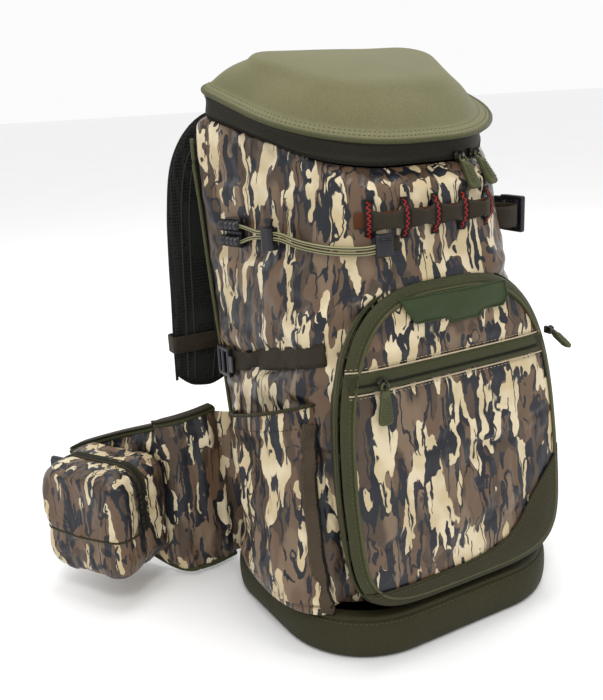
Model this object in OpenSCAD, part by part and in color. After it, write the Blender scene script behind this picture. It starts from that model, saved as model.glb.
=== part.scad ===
// Framed day pack for hunting: a lofted fabric body on a moulded base, a moulded zip lid,
// a zip-down front pocket, bottle pockets, hip belt wings with pouches, and shoulder straps.
// Origin: centre of the base's underside. Front is -Y, the wearer is at +Y, +Z is up.

/* [Body] */
// Half width of the body at its back edge, level with the webbing ladder
back_half = 141; // [138:1:143]
// Half width of the body's front, level with the webbing ladder
front_half = 80; // [76:1:84]
// Plane of the body's back wall
back_y = 83; // [81:1:85]
// Plane of the body's front wall
front_y = -101; // [-104:1:-99]
// Wall thickness of the fabric and its foam
wall = 2.5; // [2:0.5:3]

/* [Base] */
// Half width of the moulded base
base_half = 153; // [150:1:155]
// Front of the moulded base
base_front = -142; // [-144:1:-140]
// Height of the moulded base
base_h = 38; // [36:1:39]

/* [Lid] */
// Height of the neck's front edge, where the lid zips on
neck_z = 424.5; // [422:0.5:426]
// Rise of the lid's plane for each millimetre towards the back
lid_slope = 0.31; // [0.29:0.01:0.33]
// Height of the zip band under the lid's rim
lid_band_h = 20; // [17:1:22]
// Height of the lid's dome over its rim
lid_dome_h = 40; // [36:1:41]

/* [Front pocket] */
// Half width of the zip-down panel
panel_half = 119; // [116:1:121]
// Top of the zip-down panel
panel_top = 330; // [326:1:332]
// Bottom of the zip-down panel
panel_bottom = 50; // [50:1:54]
// How far the panel's face bulges
panel_bulge = 16; // [12:1:18]

/* [Belt and straps] */
// Width of the side webbing
webbing_w = 20; // [18:1:22]
// Thickness of webbing
webbing_t = 1.8; // [1.5:0.1:2]
// Width of a shoulder strap
strap_w = 64; // [60:1:68]
// Thickness of a shoulder strap
strap_t = 13; // [10:1:13]
// Depth of a hip pouch
pouch_d = 75; // [66:1:78]
// Length of a hip pouch along the belt
pouch_l = 102; // [96:1:106]
// Height of a hip pouch
pouch_h = 112; // [104:1:116]

/* [Hidden] */

panel_points = 40;
base_back = 84;
panel_lean = 0.112;
panel_edge_y = -108;
panel_ref_z = 270;
camo = "#6b5844";
olive = "#4a4a28";
webbing_brown = "#4b3d2c";
black_plastic = "#15161a";
mesh_black = "#1b1d18";

// ---------- rings, lofts and sweeps ----------

function lerp(a, b, t) = a + (b - a) * t;
function root(v, e) = sign(v) * pow(abs(v), e);
function unit(v) = v / norm(v);

// A run of points on a round corner, from angle a to angle b.
function corner(cx, cy, r, a, b, steps) = [
    for (i = [0 : steps])
        [cx + r * cos(lerp(a, b, i / steps)), cy + r * sin(lerp(a, b, i / steps))]
];

// A closed outline in plan: a trapezoid with round corners, symmetric about X = 0, on a plane
// that rises from zf at the front yf to zb at the back yb. hf and hb are its half widths
// there, and rf and rb are its corners.
function plan_ring(hf, hb, yf, yb, rf, rb, zf, zb) =
    let (s = -atan2(hb - hf, yb - yf),
         half = concat(
             corner(hf - rf * (1 + sin(s)) / cos(s), yf + rf, rf, -90, s, 8),
             corner(hb - rb * (1 - sin(s)) / cos(s), yb - rb, rb, s, 90, 4)),
         n = len(half),
         outline = concat(half, [for (i = [n - 1 : -1 : 0]) [-half[i].x, half[i].y]]))
    [for (p = outline) [p.x, p.y, lerp(zf, zb, (p.y - yf) / (yb - yf))]];

// A solid skinned over closed rings that all have the same number of points.
module loft(rings, flip = false) {
    n = len(rings[0]);
    m = len(rings);
    walls = [for (k = [0 : m - 2]) for (i = [0 : n - 1])
        let (j = (i + 1) % n, a = k * n + i, b = k * n + j, c = a + n, d = b + n)
        each [[a, c, b], [b, c, d]]];
    faces = concat([[for (i = [0 : n - 1]) i]], walls,
        [[for (i = [n - 1 : -1 : 0]) (m - 1) * n + i]]);
    polyhedron([for (r = rings) each r],
        flip ? [for (f = faces) [for (i = [len(f) - 1 : -1 : 0]) f[i]]] : faces);
}

function tangent(p, i) = unit(p[min(i + 1, len(p) - 1)] - p[max(i - 1, 0)]);

// A flat strap along points. side points across it, and hw and ht are half sizes at each point.
module ribbon(p, side, hw, ht) {
    last = len(p) - 1;
    rings = [for (i = [0 : last])
        let (t = tangent(p, i),
             s0 = is_list(side[0]) ? side[i] : side,
             s = unit(s0 - t * (s0 * t)),
             n = cross(t, s),
             w = is_list(hw) ? hw[i] : hw,
             h = is_list(ht) ? ht[i] : ht,
             c = min(w, h) * 0.45)
        [for (q = [[w - c, h], [w, h - c], [w, c - h], [w - c, -h],
                   [c - w, -h], [-w, c - h], [-w, h - c], [c - w, h]])
            p[i] + s * q[0] + n * q[1]]];
    loft(rings, true);
}

// A round cord or tube along points.
module tube(p, r, sides = 8) {
    last = len(p) - 1;
    rings = [for (i = [0 : last])
        let (t = tangent(p, i),
             up = abs(t.z) > 0.9 ? [0, 1, 0] : [0, 0, 1],
             s = unit(cross(t, up)),
             n = cross(t, s))
        [for (k = [0 : sides - 1])
            p[i] + r * (cos(k * 360 / sides) * s + sin(k * 360 / sides) * n)]];
    loft(rings, true);
}

// A Catmull-Rom curve through points, with steps points for each stretch.
function spline(p, steps) = [
    for (i = [0 : len(p) - 2]) for (k = [0 : steps - (i == len(p) - 2 ? 0 : 1)])
        let (t = k / steps,
             a = p[max(i - 1, 0)], b = p[i], c = p[i + 1], d = p[min(i + 2, len(p) - 1)])
        0.5 * (2 * b + (c - a) * t + (2 * a - 5 * b + 4 * c - d) * t * t
            + (3 * b - a - 3 * c + d) * t * t * t)
];

module both_sides() {
    children();
    mirror([1, 0, 0]) children();
}

module box_at(lo, hi) {
    translate(lo) cube(hi - lo);
}

// A box whose upright edges are rounded, centred.
module rounded_box(x, y, z, r) {
    linear_extrude(z, center = true) offset(r) square([x - 2 * r, y - 2 * r], center = true);
}

// ---------- body ----------

// Height, half widths in front and at the back, front plane and front corner of the body.
stations = [
    [base_h + 3, 122, 119, front_y - 6, 50],
    [110, 122, 122, front_y - 5, 50],
    [190, 120, 128, front_y - 2, 50],
    [254, front_half + 36, back_half - 9, front_y, 53],
    [320, front_half + 19, back_half - 4, front_y, 60],
    [386, front_half, back_half, front_y, 68]
];
corner_back = 8;
neck_front = -79;
neck_back = 79;
neck_half_front = 82;
neck_half_back = 135;
neck_corner = 76;
function lid_plane(y) = neck_z + lid_slope * (y - neck_front);

// The body's outlines, inset all round. open lifts the last one over the neck.
function body_rings(inset, open = 0) = concat(
    [for (s = stations)
        plan_ring(s[1] - inset, s[2] - inset, s[3] + inset, back_y - inset,
            s[4] - inset, corner_back - inset,
            s[0] == stations[0][0] ? s[0] + inset : s[0],
            s[0] == stations[0][0] ? s[0] + inset : s[0])],
    [plan_ring(front_half - 4 - inset, back_half + 3 - inset, front_y + 2 + inset,
         back_y - inset, 70 - inset, corner_back - inset, 405 - inset, 450 - inset),
     plan_ring(front_half - 5 - inset, back_half + 2 - inset, front_y + 9 + inset,
         back_y - inset, 72 - inset, corner_back - inset, 416 - inset, 467 - inset),
     neck_ring(-inset, open)]
);

module body_block() {
    loft(body_rings(0));
}

module main_shell() {
    color(camo) difference() {
        body_block();
        loft(body_rings(wall, -2));
        loft([neck_ring(-wall - 0.5, -5), neck_ring(-wall - 0.5, 3)]);
    }
}

// The neck's outline, grown by out and moved up by lift.
function neck_ring(out, lift) = plan_ring(neck_half_front + out, neck_half_back + out,
    neck_front - out, neck_back + out, neck_corner + out, 12 + out,
    lid_plane(neck_front - out) + lift, lid_plane(neck_back + out) + lift);

module neck_zipper() {
    color("#26261c") difference() {
        loft([neck_ring(0, 0.2), neck_ring(0, 2.6)]);
        loft([neck_ring(-5, -1), neck_ring(-5, 4)]);
    }
}

// ---------- base ----------

function base_ring(out, z) =
    plan_ring(base_half - 10 + out, base_half - 2 + out, base_front - out, base_back + out,
        88 + out, 60 + out, z, z);

module base_tray() {
    color(olive) difference() {
        loft([base_ring(-6, 0), base_ring(-2, 5), base_ring(0, 12), base_ring(0, base_h - 5),
            base_ring(-2, base_h)]);
        loft([base_ring(-10, 4), base_ring(-5, 12), base_ring(-6, base_h + 1)]);
    }
}

module base_board() {
    color(olive) loft([base_ring(-3, base_h), base_ring(-5, base_h + 3)]);
}

// ---------- back ----------

module back_panel() {
    color(mesh_black) translate([0, back_y + 7, 256]) rotate([90, 0, 0])
        rounded_box(246, 398, 12, 18);
}

module frame_stays() {
    stay_x = 62;
    color("silver") both_sides()
        box_at([stay_x - 9, back_y - wall - 4.4, 60], [stay_x + 9, back_y - wall - 0.4, 430]);
}

// Mesh cushions on the wearer's side: two at the shoulder blades and one across the hips.
module back_pads() {
    pad_t = 12;
    color("#23251f") translate([0, back_y + 13.4 + pad_t / 2, 0]) rotate([90, 0, 0]) {
        both_sides() translate([52, 300]) rounded_box(70, 180, pad_t, 14);
        translate([0, 118]) rounded_box(186, 106, pad_t, 18);
    }
}

module haul_handle() {
    route = spline([[-24, 96, 437], [-24, 109, 440], [-17, 120, 446], [0, 124, 449],
        [17, 120, 446], [24, 109, 440], [24, 96, 437]], 4);
    color(webbing_brown) difference() {
        ribbon(route, [0, -0.5, 1], 10, 1.6);
        box_at([-60, 80, 400], [60, back_y + 18.5, 470]);
    }
}

// ---------- side pockets ----------

// An oval outline on the left side, from y0 to y1, that rises from zb at its back to zf.
function pocket_ring(zb, zf, out, y0, y1) = [
    for (i = [0 : 31])
        let (a = (i + 0.5) * 360 / 32,
             t = (root(sin(a), 0.8) + 1) / 2)
        [-107 - root(cos(a), 0.8) * (51 + out - 5 * t), lerp(y0 - out, y1 + out, t),
         lerp(zf, zb, t)]
];

function pocket_rings(out, lift) = [
    pocket_ring(base_h + 4 - out, base_h + 4 - out, out, -108, 60),
    pocket_ring(90, 90, out + 1, -102, 62),
    pocket_ring(150, 150, out, -90, 62),
    pocket_ring(186 + lift, 230 + lift, out - 2, -78, 60)
];

module side_pocket() {
    color(camo) difference() {
        loft(pocket_rings(0, 0), true);
        loft(pocket_rings(-2, 2), true);
        body_block();
        gusset_block(0.4);
    }
}

// Webbing sewn over the front edge of a side pocket.
module pocket_binding() {
    route = [[-129, -104, base_h + 8], [-132, -98, 90], [-130, -88, 150], [-124, -78, 200],
        [-122, -74, 226]];
    color(webbing_brown) difference() {
        ribbon(spline(route, 3), [-0.75, 1, 0.2], 6, 1.6);
        body_block();
        loft(pocket_rings(0.3, 3), true);
        gusset_block();
    }
}

// ---------- webbing ladder and bungee ----------

daisy_x = [-64, -35, -4, 25, 55];
daisy_z = 384;
front_tilt = -atan2(back_half - front_half, back_y - front_y);
front_corner = 68;
front_flat = front_half - front_corner * (1 + sin(front_tilt)) / cos(front_tilt);

// How far the body's front has turned at x, level with the ladder.
function front_turn(x) = abs(x) < front_flat ? 0
    : sign(x) * asin((abs(x) - front_flat) / front_corner);

// The point there, moved out by out and round by shift.
function front_at(x, out, shift = 0) =
    let (t = front_turn(x))
    [sign(x) * min(abs(x), front_flat) + (front_corner + out) * sin(t) + shift * cos(t),
     front_y + front_corner - (front_corner + out) * cos(t) + shift * sin(t)];

module daisy_webbing() {
    lies = 2.6;
    stands = 9;
    last = len(daisy_x) - 1;
    flat = [for (i = [0 : last]) each concat([front_at(daisy_x[i], lies)],
        i == last ? [] : [
            (front_at(daisy_x[i], stands, 10) + front_at(daisy_x[i + 1], stands, -20)) / 2,
            (front_at(daisy_x[i], stands, 20) + front_at(daisy_x[i + 1], stands, -10)) / 2])];
    color(webbing_brown) ribbon([for (p = flat) [p.x, p.y, daisy_z]], [0, 0, 1], 7, 1.4);
}

module daisy_loops() {
    for (x = daisy_x)
        color("#b02020") difference() {
            translate(concat(front_at(x, 3.8), daisy_z)) rotate([0, 0, front_turn(x)])
                rounded_box(7.5, 9.4, 28, 1.5);
            body_block();
            translate(concat(front_at(x, 2), daisy_z)) rotate([0, 0, front_turn(x)])
                cube([20, 9.2, 15], center = true);
        }
}

bungee_left = [-131, 33, 368];
bungee_lock = [-119.5, -20.5, 370];
bungee_right = [-57, -103.6, 364];
anchor_turn = 17;
lock_turn = -72.5;
clip_turn = -15;
cord_r = 1.8;
tube_z = 7;

module bungee_anchor() {
    color(black_plastic) difference() {
        translate(bungee_left) rotate([0, 0, anchor_turn]) {
            for (side = [-1, 1]) translate([0, 0, tube_z * side]) rotate([90, 0, 0])
                cylinder(h = 24, r = 5.2, center = true, $fn = 24);
            translate([3.5, 0, 0]) cube([3, 20, 26], center = true);
        }
        body_block();
        for (side = [-1, 1]) translate(bungee_left) rotate([0, 0, anchor_turn])
            translate([0, -8, tube_z * side]) rotate([90, 0, 0])
            cylinder(h = 12, r = cord_r + 0.6, center = true, $fn = 24);
    }
}

// Each strand runs from a tube of the anchor, through the toggle, to the end clip.
function strand(side) = [
    [-129.9, 29.3, 368 + 7 * side],
    [-127.2, 20.5, 368 + 7 * side],
    [-126, 8, 369.4 + 4.6 * side],
    [-123.9, -6.5, 370 + 2.3 * side],
    [-119.5, -20.5, 370 + 2.3 * side],
    [-115, -34.8, 369.6 + 2.3 * side],
    [-105.4, -49, 364 + 2.3 * side],
    [-93, -77.4, 361 + 2.3 * side],
    [-74.4, -95, 360 + 2.3 * side],
    [-61, -102.6, 361.6 + 2.3 * side]
];

module bungee_cord() {
    color("#8c8a5c") for (side = [-1, 1]) tube(spline(strand(side), 4), cord_r);
}

module bungee_end_clip() {
    color(black_plastic) difference() {
        translate(bungee_right) rotate([0, 0, clip_turn]) rounded_box(15, 8, 19, 2);
        body_block();
        translate(bungee_right) rotate([0, 0, clip_turn]) translate([-5, 0.4, -2.4])
            cube([9, 4.4, 9.4], center = true);
    }
}

module lock_frame() {
    translate(bungee_lock) rotate([0, 0, lock_turn]) children();
}

module cord_lock_body() {
    color(black_plastic) lock_frame() difference() {
        union() {
            translate([0, 0, -2.5]) rounded_box(13, 11, 19, 2.4);
            translate([0, 0, 7]) cylinder(h = 2, r = 5, center = true, $fn = 32);
        }
        translate([0, 0, -10.5]) cylinder(h = 30, r = 3.6, $fn = 32);
        cube([30, 4.6, 9.2], center = true);
    }
}

module cord_lock_button() {
    color(black_plastic) lock_frame() difference() {
        union() {
            translate([0, 0, -6]) cylinder(h = 18.5, r = 3.3, $fn = 32);
            translate([0, 0, 13.5]) cylinder(h = 2, r = 4.4, center = true, $fn = 32);
        }
        translate([0, 0, 2]) cube([30, 4.6, 13.2], center = true);
    }
}

// ---------- side webbing and buckles ----------

// Half width of the body at a place y and a height z.
function body_half(y, z) =
    let (hf = lookup(z, [for (s = stations) [s[0], s[1]]]),
         hb = lookup(z, [for (s = stations) [s[0], s[2]]]),
         yf = lookup(z, [for (s = stations) [s[0], s[3]]]),
         rf = lookup(z, [for (s = stations) [s[0], s[4]]]),
         a = -atan2(hb - hf, back_y - yf),
         cx = hf - rf * (1 + sin(a)) / cos(a),
         cy = yf + rf)
    y > cy + rf * sin(a) ? lerp(hf, hb, (y - yf) / (back_y - yf))
        : cx + sqrt(rf * rf - pow(cy - y, 2));

function side_z(y) = 254 - 0.25 * y;

module side_strap() {
    lies = 0.8 + webbing_t / 2;
    route = [for (y = [51, 34, 16, -4, -24, -42, -56, -68, -78])
        [-body_half(y, side_z(y)) - lies, y, side_z(y)]];
    color(webbing_brown) difference() {
        ribbon(route, [0, -0.25, 1], webbing_w / 2, webbing_t / 2);
        body_block();
        gusset_block();
    }
}

// Ladder-lock frame at the back end of the side webbing.
module side_buckle() {
    buckle_y = 66;
    color(black_plastic) translate([-body_half(buckle_y, 239) - 4.2, buckle_y, 238])
        rotate([0, 0, 3]) difference() {
            rounded_box(6, 24, 29, 1.6);
            translate([0, -3, 0]) cube([20, 5, 22], center = true);
            translate([0, 5.5, 0]) cube([20, 4, 22], center = true);
        }
}

gear_x = 123.5;
gear_y = -56;
gear_z = 366;

// Webbing loop that holds the gear buckle off the body's right side.
module gear_strap() {
    color(webbing_brown) difference() {
        ribbon([[90, -69.5, gear_z], [98, -74, gear_z], [gear_x - 12, -73, gear_z],
            [gear_x - 4, -64, gear_z], [gear_x - 4.4, -50, gear_z], [gear_x - 11, -38, gear_z],
            [107, -30, gear_z]], [0, 0, 1], webbing_w / 2, webbing_t / 2);
        body_block();
    }
}

// Female half of the gear strap's release buckle.
module gear_buckle_frame() {
    color(black_plastic) translate([gear_x, gear_y, gear_z]) difference() {
        rounded_box(5, 30, 34, 2);
        translate([0, 14, 0]) cube([2.6, 24, 20], center = true);
        translate([0, -9, 0]) cube([8, 4, 23], center = true);
    }
}

// Male half of the gear strap's release buckle: two sprung prongs on a bar.
module gear_buckle_tongue() {
    color(black_plastic) translate([gear_x, gear_y, gear_z]) {
        translate([0, 20, 0]) rounded_box(5, 9, 30, 1.6);
        for (side = [-1, 1]) translate([0, 10, 7.5 * side]) cube([2, 13, 3.6], center = true);
    }
}

module gear_strap_tail() {
    color(webbing_brown) ribbon([[gear_x, gear_y + 24.8, gear_z],
        [gear_x + 0.4, gear_y + 38, gear_z], [gear_x + 1, gear_y + 50, gear_z]],
        [0, 0, 1], webbing_w / 2, webbing_t / 2);
}

// ---------- front pocket ----------

function panel_y(z) = panel_edge_y - (panel_ref_z - z) * panel_lean;

// The panel's outline, inset, on its leaning plane and moved by dy.
function panel_ring(inset, dy) = [
    for (i = [0 : panel_points - 1])
        let (a = (i + 0.5) * 360 / panel_points,
             n = sin(a) > 0 ? 3.2 : 4.6,
             mid = 150,
             z = mid + root(sin(a), 2 / n)
                 * ((sin(a) > 0 ? panel_top - mid : mid - panel_bottom) - inset))
        [root(cos(a), 2 / n) * (panel_half - inset) * (1 - 0.00022 * abs(z - 160)),
         panel_y(z) + dy, z]
];

module gusset_block(grow = 0) {
    loft([panel_ring(24 - grow, 60), panel_ring(8 - grow, 22), panel_ring(-grow, 0)]);
}

module front_gusset() {
    color(camo) difference() {
        gusset_block();
        loft([panel_ring(27, 62), panel_ring(11, 22), panel_ring(3, -1)]);
        body_block();
    }
}

// Coil zip round the gusset's front edge.
module panel_zipper() {
    color(olive) difference() {
        loft([panel_ring(0.2, -0.2), panel_ring(-1.6, -2), panel_ring(0.2, -3.8)]);
        loft([panel_ring(5, 1), panel_ring(5, -5)]);
    }
}

// Outlines of the panel's bulging face, inset, with dy that thins it from behind.
function panel_rings(inset, dy) = [
    panel_ring(inset + 1, -4.3 + min(dy, 0.2)),
    panel_ring(inset, -7 + dy * 0.4),
    panel_ring(inset + 5, -11 + dy),
    panel_ring(inset + 22, -panel_bulge + 1 + dy),
    panel_ring(inset + 55, -panel_bulge + dy)
];

zip_x = -4;
zip_z = 258;
function zip_y(out) = panel_y(zip_z) - panel_bulge - out;

module front_panel() {
    color(camo) difference() {
        loft(panel_rings(0, 0));
        translate([0, 0.1, 0]) loft(panel_rings(3, 2.4));
        translate([zip_x, zip_y(0), zip_z]) cube([190, 40, 7], center = true);
    }
}

module panel_zip_tape() {
    color(olive) translate([zip_x, zip_y(2), zip_z]) rotate([90, 0, 0]) difference() {
        rounded_box(204, 17, 2, 2);
        cube([188, 5, 4], center = true);
    }
}

slider_x = -80;

// A zip slider: a block with a lug whose cross hole takes the pull's pin. -Y is outwards.
module slider_block() {
    cube([9, 3.6, 7], center = true);
    translate([0, -3.8, 0]) difference() {
        union() {
            rotate([0, 90, 0]) cylinder(h = 3, r = 3, center = true, $fn = 24);
            translate([0, 1.6, 0]) cube([3, 2.4, 6], center = true);
        }
        rotate([0, 90, 0]) cylinder(h = 6, r = 1.2, center = true, $fn = 24);
    }
}

// A pull that hangs on a cross pin: pin along X, tab down.
module pull(length, width, thick) {
    rotate([0, 90, 0]) cylinder(h = 5.8, r = 1.1, center = true, $fn = 24);
    for (side = [-1, 1]) translate([side * 3.4, 0, -3.2]) cube([1.8, 2.2, 9], center = true);
    translate([0, 0, -6 - length / 2]) rotate([90, 0, 0])
        linear_extrude(thick, center = true) hull() {
            translate([0, length / 2 - 1]) square([8.6, 2], center = true);
            translate([0, -length / 2 + 2]) offset(1.5) square([width - 3, 1], center = true);
        }
}

module zip_slider() {
    color(black_plastic) translate([slider_x, zip_y(5.1), zip_z]) slider_block();
}

module zip_pull() {
    color(olive) translate([slider_x, zip_y(8.9), zip_z]) pull(30, 14, 4);
}

module panel_patch() {
    color("#3b4626") translate([2, panel_y(306) - 16.4, 306]) rotate([90 - 8, 0, 0])
        linear_extrude(1.2, center = true)
        polygon([[-56, 15], [-42, -8], [-10, -8], [-4, -13], [26, -13], [32, -7], [54, -7],
            [60, 0], [58, 15]]);
}

// Tough cloth over the panel's lower edge, higher on the right.
module panel_guard() {
    color(olive) intersection() {
        difference() {
            loft([panel_ring(-1.4, -5), panel_ring(-1.4, -8), panel_ring(4, -12.2),
                panel_ring(21.4, -panel_bulge - 0.4), panel_ring(55, -panel_bulge - 1.4)]);
            loft([panel_ring(-0.3, 0), panel_ring(-0.3, -7.2), panel_ring(4.7, -11.3),
                panel_ring(21.8, -panel_bulge + 0.7), panel_ring(55, -panel_bulge - 0.3)]);
        }
        translate([0, -120, 0]) rotate([90, 0, 0]) linear_extrude(80, center = true)
            polygon([[-140, 40], [-140, 74], [-5, 74], [45, 84], [72, 112], [140, 170],
                [140, 40]]);
    }
}

// Where the edge zip's slider rides: on the panel's right edge.
edge_slider = [120.3, panel_y(262) - 2, 262];
edge_pull_turn = 48;

module panel_slider() {
    color(black_plastic) translate(edge_slider) rotate([0, 0, 90]) slider_block();
}

module panel_pull() {
    color(webbing_brown) translate(edge_slider + [3.8, 0, 0]) rotate([0, -edge_pull_turn, 0])
        rotate([0, 0, 90]) pull(26, 9, 5);
}

// ---------- lid ----------

rim_front = -90;
rim_back = 87;
function rim_ring(out, lift) = plan_ring(108 + out, 137 + out, rim_front - out,
    rim_back + out * 0.4, 108 + out, 24 + out,
    lid_plane(rim_front - out) + lid_band_h + lift,
    lid_plane(rim_back + out * 0.4) + lid_band_h + lift);
function top_ring(out, lift) = plan_ring(56 + out, 108 + out, -50 - out, 60 + out,
    45 + out, 24 + out,
    lid_plane(-50 - out) + lid_band_h + lift, lid_plane(60 + out) + lid_band_h + lift);

module lid_shell() {
    color("#6d6c3f") difference() {
        loft([rim_ring(-3, 0.4), rim_ring(0, 2), rim_ring(0, 5), rim_ring(-5, 8),
            top_ring(5, lid_dome_h - 6), top_ring(0, lid_dome_h - 1.2),
            top_ring(-8, lid_dome_h)]);
        loft([rim_ring(-14, -1), rim_ring(-14, 5), top_ring(0, lid_dome_h - 10),
            top_ring(-8, lid_dome_h - 5)]);
    }
}

module lid_piping() {
    color("#5a5a33") difference() {
        loft([rim_ring(0.3, 1.8), rim_ring(2, 3), rim_ring(2, 4.4), rim_ring(0.3, 5.6)]);
        loft([rim_ring(0.25, 0), rim_ring(0.25, 8)]);
    }
}

module lid_band() {
    color("#2c2a20") difference() {
        loft([neck_ring(0.5, 3), neck_ring(1.5, lid_band_h)]);
        loft([neck_ring(-2, 1), neck_ring(-1.5, lid_band_h + 2)]);
    }
}

// The lid's two sliders meet on the right of the front. Angles are round the neck's corner.
slider_turns = [6, 20];
neck_tilt = -atan2(neck_half_back - neck_half_front, neck_back - neck_front);
neck_flat = neck_half_front - neck_corner * (1 + sin(neck_tilt)) / cos(neck_tilt);
pull_tilt = 34;
pull_out = 8.8;
slider_drop = 6;

// A frame on the neck's zip at an angle, out mm off it, with -Y outwards.
module at_neck(turn, out) {
    x = neck_flat + (neck_corner + out) * sin(turn);
    y = neck_front + neck_corner - (neck_corner + out) * cos(turn);
    z = lid_plane(neck_front + neck_corner - (neck_corner + slider_drop) * cos(turn)) + 5;
    translate([x, y, z]) rotate([0, 0, turn]) children();
}

module lid_sliders() {
    color(black_plastic) for (turn = slider_turns) at_neck(turn, 5) {
        slider_block();
        translate([0, 2, 1]) cube([5, 3, 5], center = true);
    }
}

module lid_pull(turn) {
    color("#4c5230") at_neck(turn, pull_out) rotate([-pull_tilt, 0, 0]) pull(26, 13, 5);
}

// ---------- harness ----------

strap_route = spline([[-70, 104, 418, 26], [-75, 109, 435, 28], [-88, 118, 446, 30],
    [-104, 125, 440, 31], [-117, 129, 417, 32], [-123, 131.5, 378, 32],
    [-126, 132, 333, 32], [-128, 132, 283, 32], [-131, 130, 240, 32], [-138, 128, 196, 27]], 3);

module shoulder_strap() {
    p = [for (q = strap_route) [q.x, q.y, q.z]];
    color(mesh_black) ribbon(p,
        [for (i = [0 : len(p) - 1]) cross(tangent(p, i), [0, -1, 0])],
        [for (q = strap_route) q[3] * strap_w / 64], strap_t / 2);
}

// Webbing from each strap's lower end back to the body.
module strap_webbing() {
    color(webbing_brown) both_sides()
        ribbon([[-89, 121, 205], [-86.5, 115, 204], [-85, 107, 203], [-85, 98, 202]],
            [0, 0, 1], webbing_w / 2, webbing_t / 2);
}

module strap_adjusters() {
    color(black_plastic) both_sides()
        translate([-93.5, 125, 205]) rotate([0, 0, 4]) difference() {
            rounded_box(17, 5, 27, 1.6);
            translate([2.6, 0, 0]) cube([3.4, 20, 21], center = true);
            translate([-3.6, 0, 0]) cube([3.4, 20, 21], center = true);
        }
}

module sternum_band() {
    color("#3b3c2b") translate([-130.4, 130.4, 246]) difference() {
        rounded_box(strap_w + 8, strap_t + 8, 18, 3);
        cube([strap_w + 3, strap_t + 3.6, 30], center = true);
    }
}

// Route of a hip wing's middle, with its half height as each point's fourth number.
wing_route = spline([[-133, 97, 94, 88], [-160, 93, 92, 87], [-182, 97, 90, 85],
    [-194, 109, 88, 81], [-220, 151, 88, 65], [-249, 197, 88, 45], [-262, 218, 87, 33]], 4);
wing_t = 14;

module wing_form() {
    ribbon([for (q = wing_route) [q.x, q.y, q.z]], [0, 0, 1], [for (q = wing_route) q[3]],
        wing_t / 2);
}

module hip_wing() {
    color(camo) wing_form();
}

module wing_webbing() {
    p = [for (q = wing_route) [q.x, q.y, q.z]];
    top = [for (i = [0 : len(p) - 1])
        let (t = tangent(p, i))
        p[i] + unit([0, 0, 1] - t * t.z) * (wing_route[i][3] + 5.4)];
    color(webbing_brown) ribbon(top, [0, 0, 1], 2, wing_t / 2 + 1);
}

belt_turn = 122;

module tip_frame() {
    translate([-262, 218, 87]) rotate([0, 0, belt_turn]) children();
}

module belt_buckle(male) {
    color(webbing_brown) tip_frame() translate([8.5, 0, 0]) cube([12, 1.8, 30], center = true);
    color(black_plastic) tip_frame() {
        translate([24, 0, 0]) difference() {
            rounded_box(22, 6, 44, 2);
            if (!male) translate([6, 0, 0]) cube([14, 2.8, 26], center = true);
        }
        if (male) for (side = [-1, 1]) translate([41, 0, 9 * side])
            cube([13, 2.2, 5], center = true);
    }
}

// Pouches sit on the wing's outer face. Their own frame: +X along the belt, +Y outwards.
pouch_at = [-199.5, 99, 30];
pouch_skin = 2.2;
pouch_corner = 14;
zip_line = 38;
seam_h = 46;

module pouch_frame() {
    translate(pouch_at) rotate([0, 0, belt_turn]) children();
}

module pouch_form(inset) {
    hull() for (x = [pouch_corner, pouch_l - pouch_corner])
        for (z = [pouch_corner, pouch_h - pouch_corner])
        for (end = [[4, 0], [pouch_d - 4, 2]])
            translate([x, end[0], z]) rotate([90, 0, 0])
                cylinder(h = 8 - 2 * inset, r = pouch_corner - inset - end[1], center = true,
                    $fn = 32);
}

module pouch_hollow() {
    difference() {
        pouch_form(0);
        pouch_form(pouch_skin);
    }
}

// The half that opens: all outside the zip and above the side seam.
module flap_region(grow) {
    box_at([-20, zip_line - grow, seam_h - grow], [pouch_l + 20, pouch_d + 20, pouch_h + 30]);
}

module pouch_tub() {
    color(camo) pouch_frame() {
        difference() {
            pouch_hollow();
            flap_region(0.4);
        }
        translate([pouch_l + 2.2, zip_line - 6, seam_h + 22]) rotate([0, 0, 90])
            slider_block();
    }
}

module pouch_flap() {
    color(camo) pouch_frame() intersection() {
        pouch_hollow();
        flap_region(0);
    }
}

module pouch_pull() {
    color(olive) pouch_frame() translate([pouch_l + 6, zip_line - 6, seam_h + 22])
        rotate([0, 0, 90]) pull(18, 10, 3);
}

// ---------- nodes ----------

base_tray();
base_board();
main_shell();
neck_zipper();
back_panel();
frame_stays();
back_pads();
haul_handle();
side_pocket();  // side_pocket_left
mirror([1, 0, 0]) side_pocket();  // side_pocket_right
pocket_binding();  // pocket_binding_left
mirror([1, 0, 0]) pocket_binding();  // pocket_binding_right
daisy_webbing();
daisy_loops();
bungee_anchor();
bungee_cord();
bungee_end_clip();
cord_lock_body();
cord_lock_button();
both_sides() side_strap();  // side_straps
both_sides() side_buckle();  // side_buckles
gear_strap();
gear_buckle_frame();
gear_buckle_tongue();
gear_strap_tail();
front_gusset();
panel_zipper();
front_panel();
panel_patch();
panel_guard();
panel_zip_tape();
zip_slider();
zip_pull();
panel_slider();
panel_pull();
lid_shell();
lid_band();
lid_piping();
lid_sliders();
lid_pull(slider_turns[0]);  // lid_pull_front
lid_pull(slider_turns[1]);  // lid_pull_rear
shoulder_strap();  // shoulder_strap_left
mirror([1, 0, 0]) shoulder_strap();  // shoulder_strap_right
strap_webbing();
strap_adjusters();
sternum_band();  // sternum_band_left
mirror([1, 0, 0]) sternum_band();  // sternum_band_right
hip_wing();  // hip_wing_left
mirror([1, 0, 0]) hip_wing();  // hip_wing_right
wing_webbing();  // wing_webbing_left
mirror([1, 0, 0]) wing_webbing();  // wing_webbing_right
belt_buckle(false);  // belt_buckle_left
mirror([1, 0, 0]) belt_buckle(true);  // belt_buckle_right
pouch_tub();  // pouch_tub_left
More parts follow.
